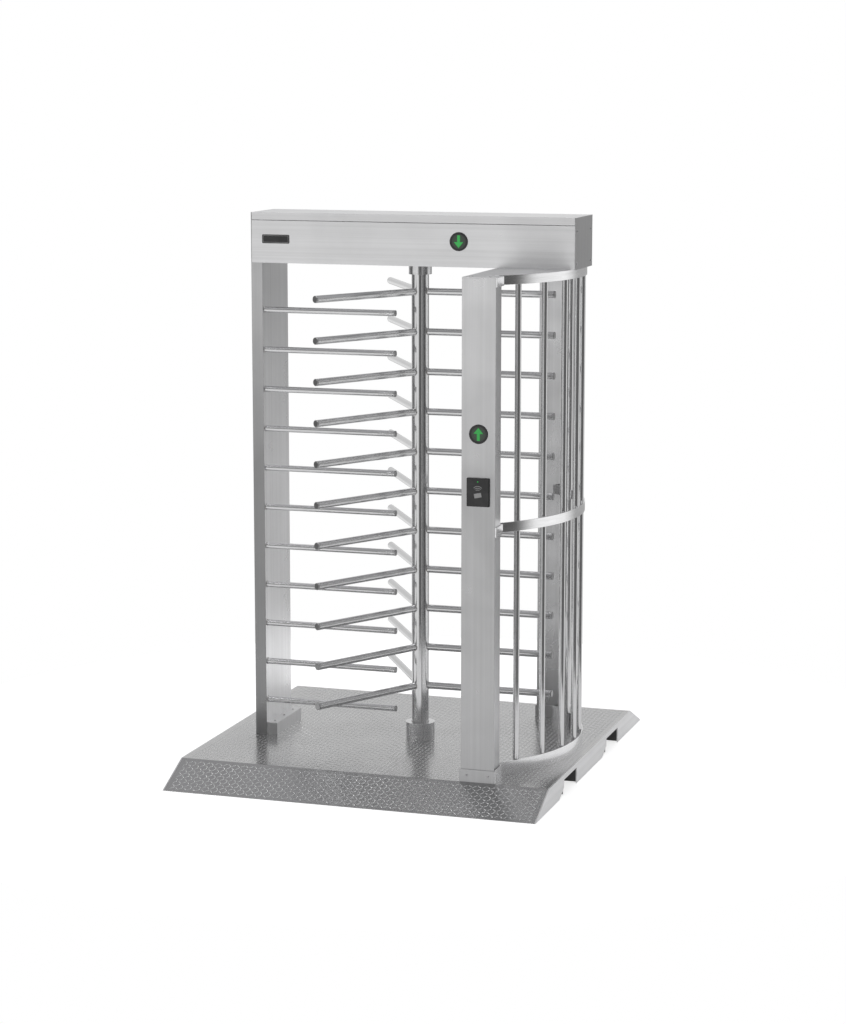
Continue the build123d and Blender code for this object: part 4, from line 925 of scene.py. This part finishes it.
# ---------------------------------------------------------------- studio
# A white paper floor, two dim soft boxes, and a sky with bright and dark bands round the horizon.
# The dark bands give the round steel its contrast.
floor_paint, tree, shader = new_material("studio floor")
place = tree.nodes.new("ShaderNodeTexCoord")
mottle = noise_node(tree, place.outputs["Object"], 3.0, 3.0, 0.5)
tree.links.new(ramp_node(tree, mottle, (0.3, 0.62), (0.7, 0.64)), shader.inputs["Base Color"])
shader.inputs["Roughness"].default_value = 1.0
path = tree.nodes.new("ShaderNodeLightPath")
glow = math_node(tree, "MULTIPLY_ADD", path.outputs["Is Camera Ray"], 0.33)
glow.node.inputs[2].default_value = 0.42
tree.links.new(glow, shader.inputs["Emission Color"])
shader.inputs["Emission Strength"].default_value = 1.0
bpy.ops.object.select_all(action="DESELECT")
bpy.ops.mesh.primitive_circle_add(vertices=96, radius=2.4, fill_type="NGON", location=(0, 0, -0.0005))
floor = bpy.context.object
floor.name = "studio_floor"
floor.data.materials.append(floor_paint)

world = bpy.data.worlds.new("studio")
scene.world = world
world.use_nodes = True
tree = world.node_tree
tree.nodes.clear()
direction = tree.nodes.new("ShaderNodeTexCoord")
parts = tree.nodes.new("ShaderNodeSeparateXYZ")
tree.links.new(direction.outputs["Generated"], parts.inputs[0])
ahead = math_node(tree, "MULTIPLY", parts.outputs["Y"], -1.0)
bearing = math_node(tree, "ARCTAN2", parts.outputs["X"], ahead)
around = math_node(tree, "MULTIPLY_ADD", bearing, 1 / (2 * math.pi))
around.node.inputs[2].default_value = 0.5
below = ramp_node(
    tree, around, (0.0, 0.40), (0.06, 0.45), (0.10, 0.95), (0.145, 0.90), (0.18, 0.14), (0.31, 0.16),
    (0.34, 0.86), (0.485, 0.98), (0.505, 0.16), (0.62, 0.10), (0.65, 0.30), (0.68, 0.08),
    (0.745, 0.08), (0.79, 0.92), (0.88, 0.95), (0.93, 0.36), (1.0, 0.40),
)
turn = math_node(tree, "MULTIPLY_ADD", parts.outputs["Y"], 0.5)
turn.node.inputs[2].default_value = 0.5
above = ramp_node(tree, turn, (0.0, 0.30), (0.55, 0.34), (0.85, 0.78), (1.0, 0.80))
height = ramp_node(tree, parts.outputs["Z"], (0.25, 0.0), (0.75, 1.0))
ceiling = mix_colour(tree, height, above, (0.45, 0.45, 0.46))
horizon = math_node(tree, "MULTIPLY_ADD", parts.outputs["Z"], 16.0, clamp=True)
horizon.node.inputs[2].default_value = 0.5
sky = mix_colour(tree, horizon, below, ceiling)
path = tree.nodes.new("ShaderNodeLightPath")
seen = tree.nodes.new("ShaderNodeBackground")
seen.inputs[0].default_value = (1, 1, 1, 1)
felt = tree.nodes.new("ShaderNodeBackground")
tree.links.new(sky, felt.inputs[0])
choose = tree.nodes.new("ShaderNodeMixShader")
tree.links.new(path.outputs["Is Camera Ray"], choose.inputs[0])
tree.links.new(felt.outputs[0], choose.inputs[1])
tree.links.new(seen.outputs[0], choose.inputs[2])
out = tree.nodes.new("ShaderNodeOutputWorld")
tree.links.new(choose.outputs[0], out.inputs[0])


def area_light(name, place, aim, size, power):
    """A square soft box that points at a spot."""
    data = bpy.data.lights.new(name, "AREA")
    data.shape = "SQUARE"
    data.size = size
    data.energy = power
    lamp = bpy.data.objects.new(name, data)
    lamp.location = place
    lamp.rotation_euler = (Vector(aim) - Vector(place)).to_track_quat("-Z", "Y").to_euler()
    scene.collection.objects.link(lamp)


area_light("key_softbox", (-4.5, -4.0, 5.0), (0, 0, 1.0), 2.5, 90)
area_light("top_softbox", (0.5, 0.5, 6.5), (0, 0, 0), 3.0, 60)

camera_data = bpy.data.cameras.new("camera")
camera_data.lens = 93.58
camera_data.sensor_width = 36
camera = bpy.data.objects.new("camera", camera_data)
camera.location = (3.5224, -10.7474, 2.9691)
camera.rotation_euler = (math.radians(90 - 9.53), 0, math.radians(17.94))
scene.collection.objects.link(camera)
scene.camera = camera
scene.view_settings.view_transform = "Standard"
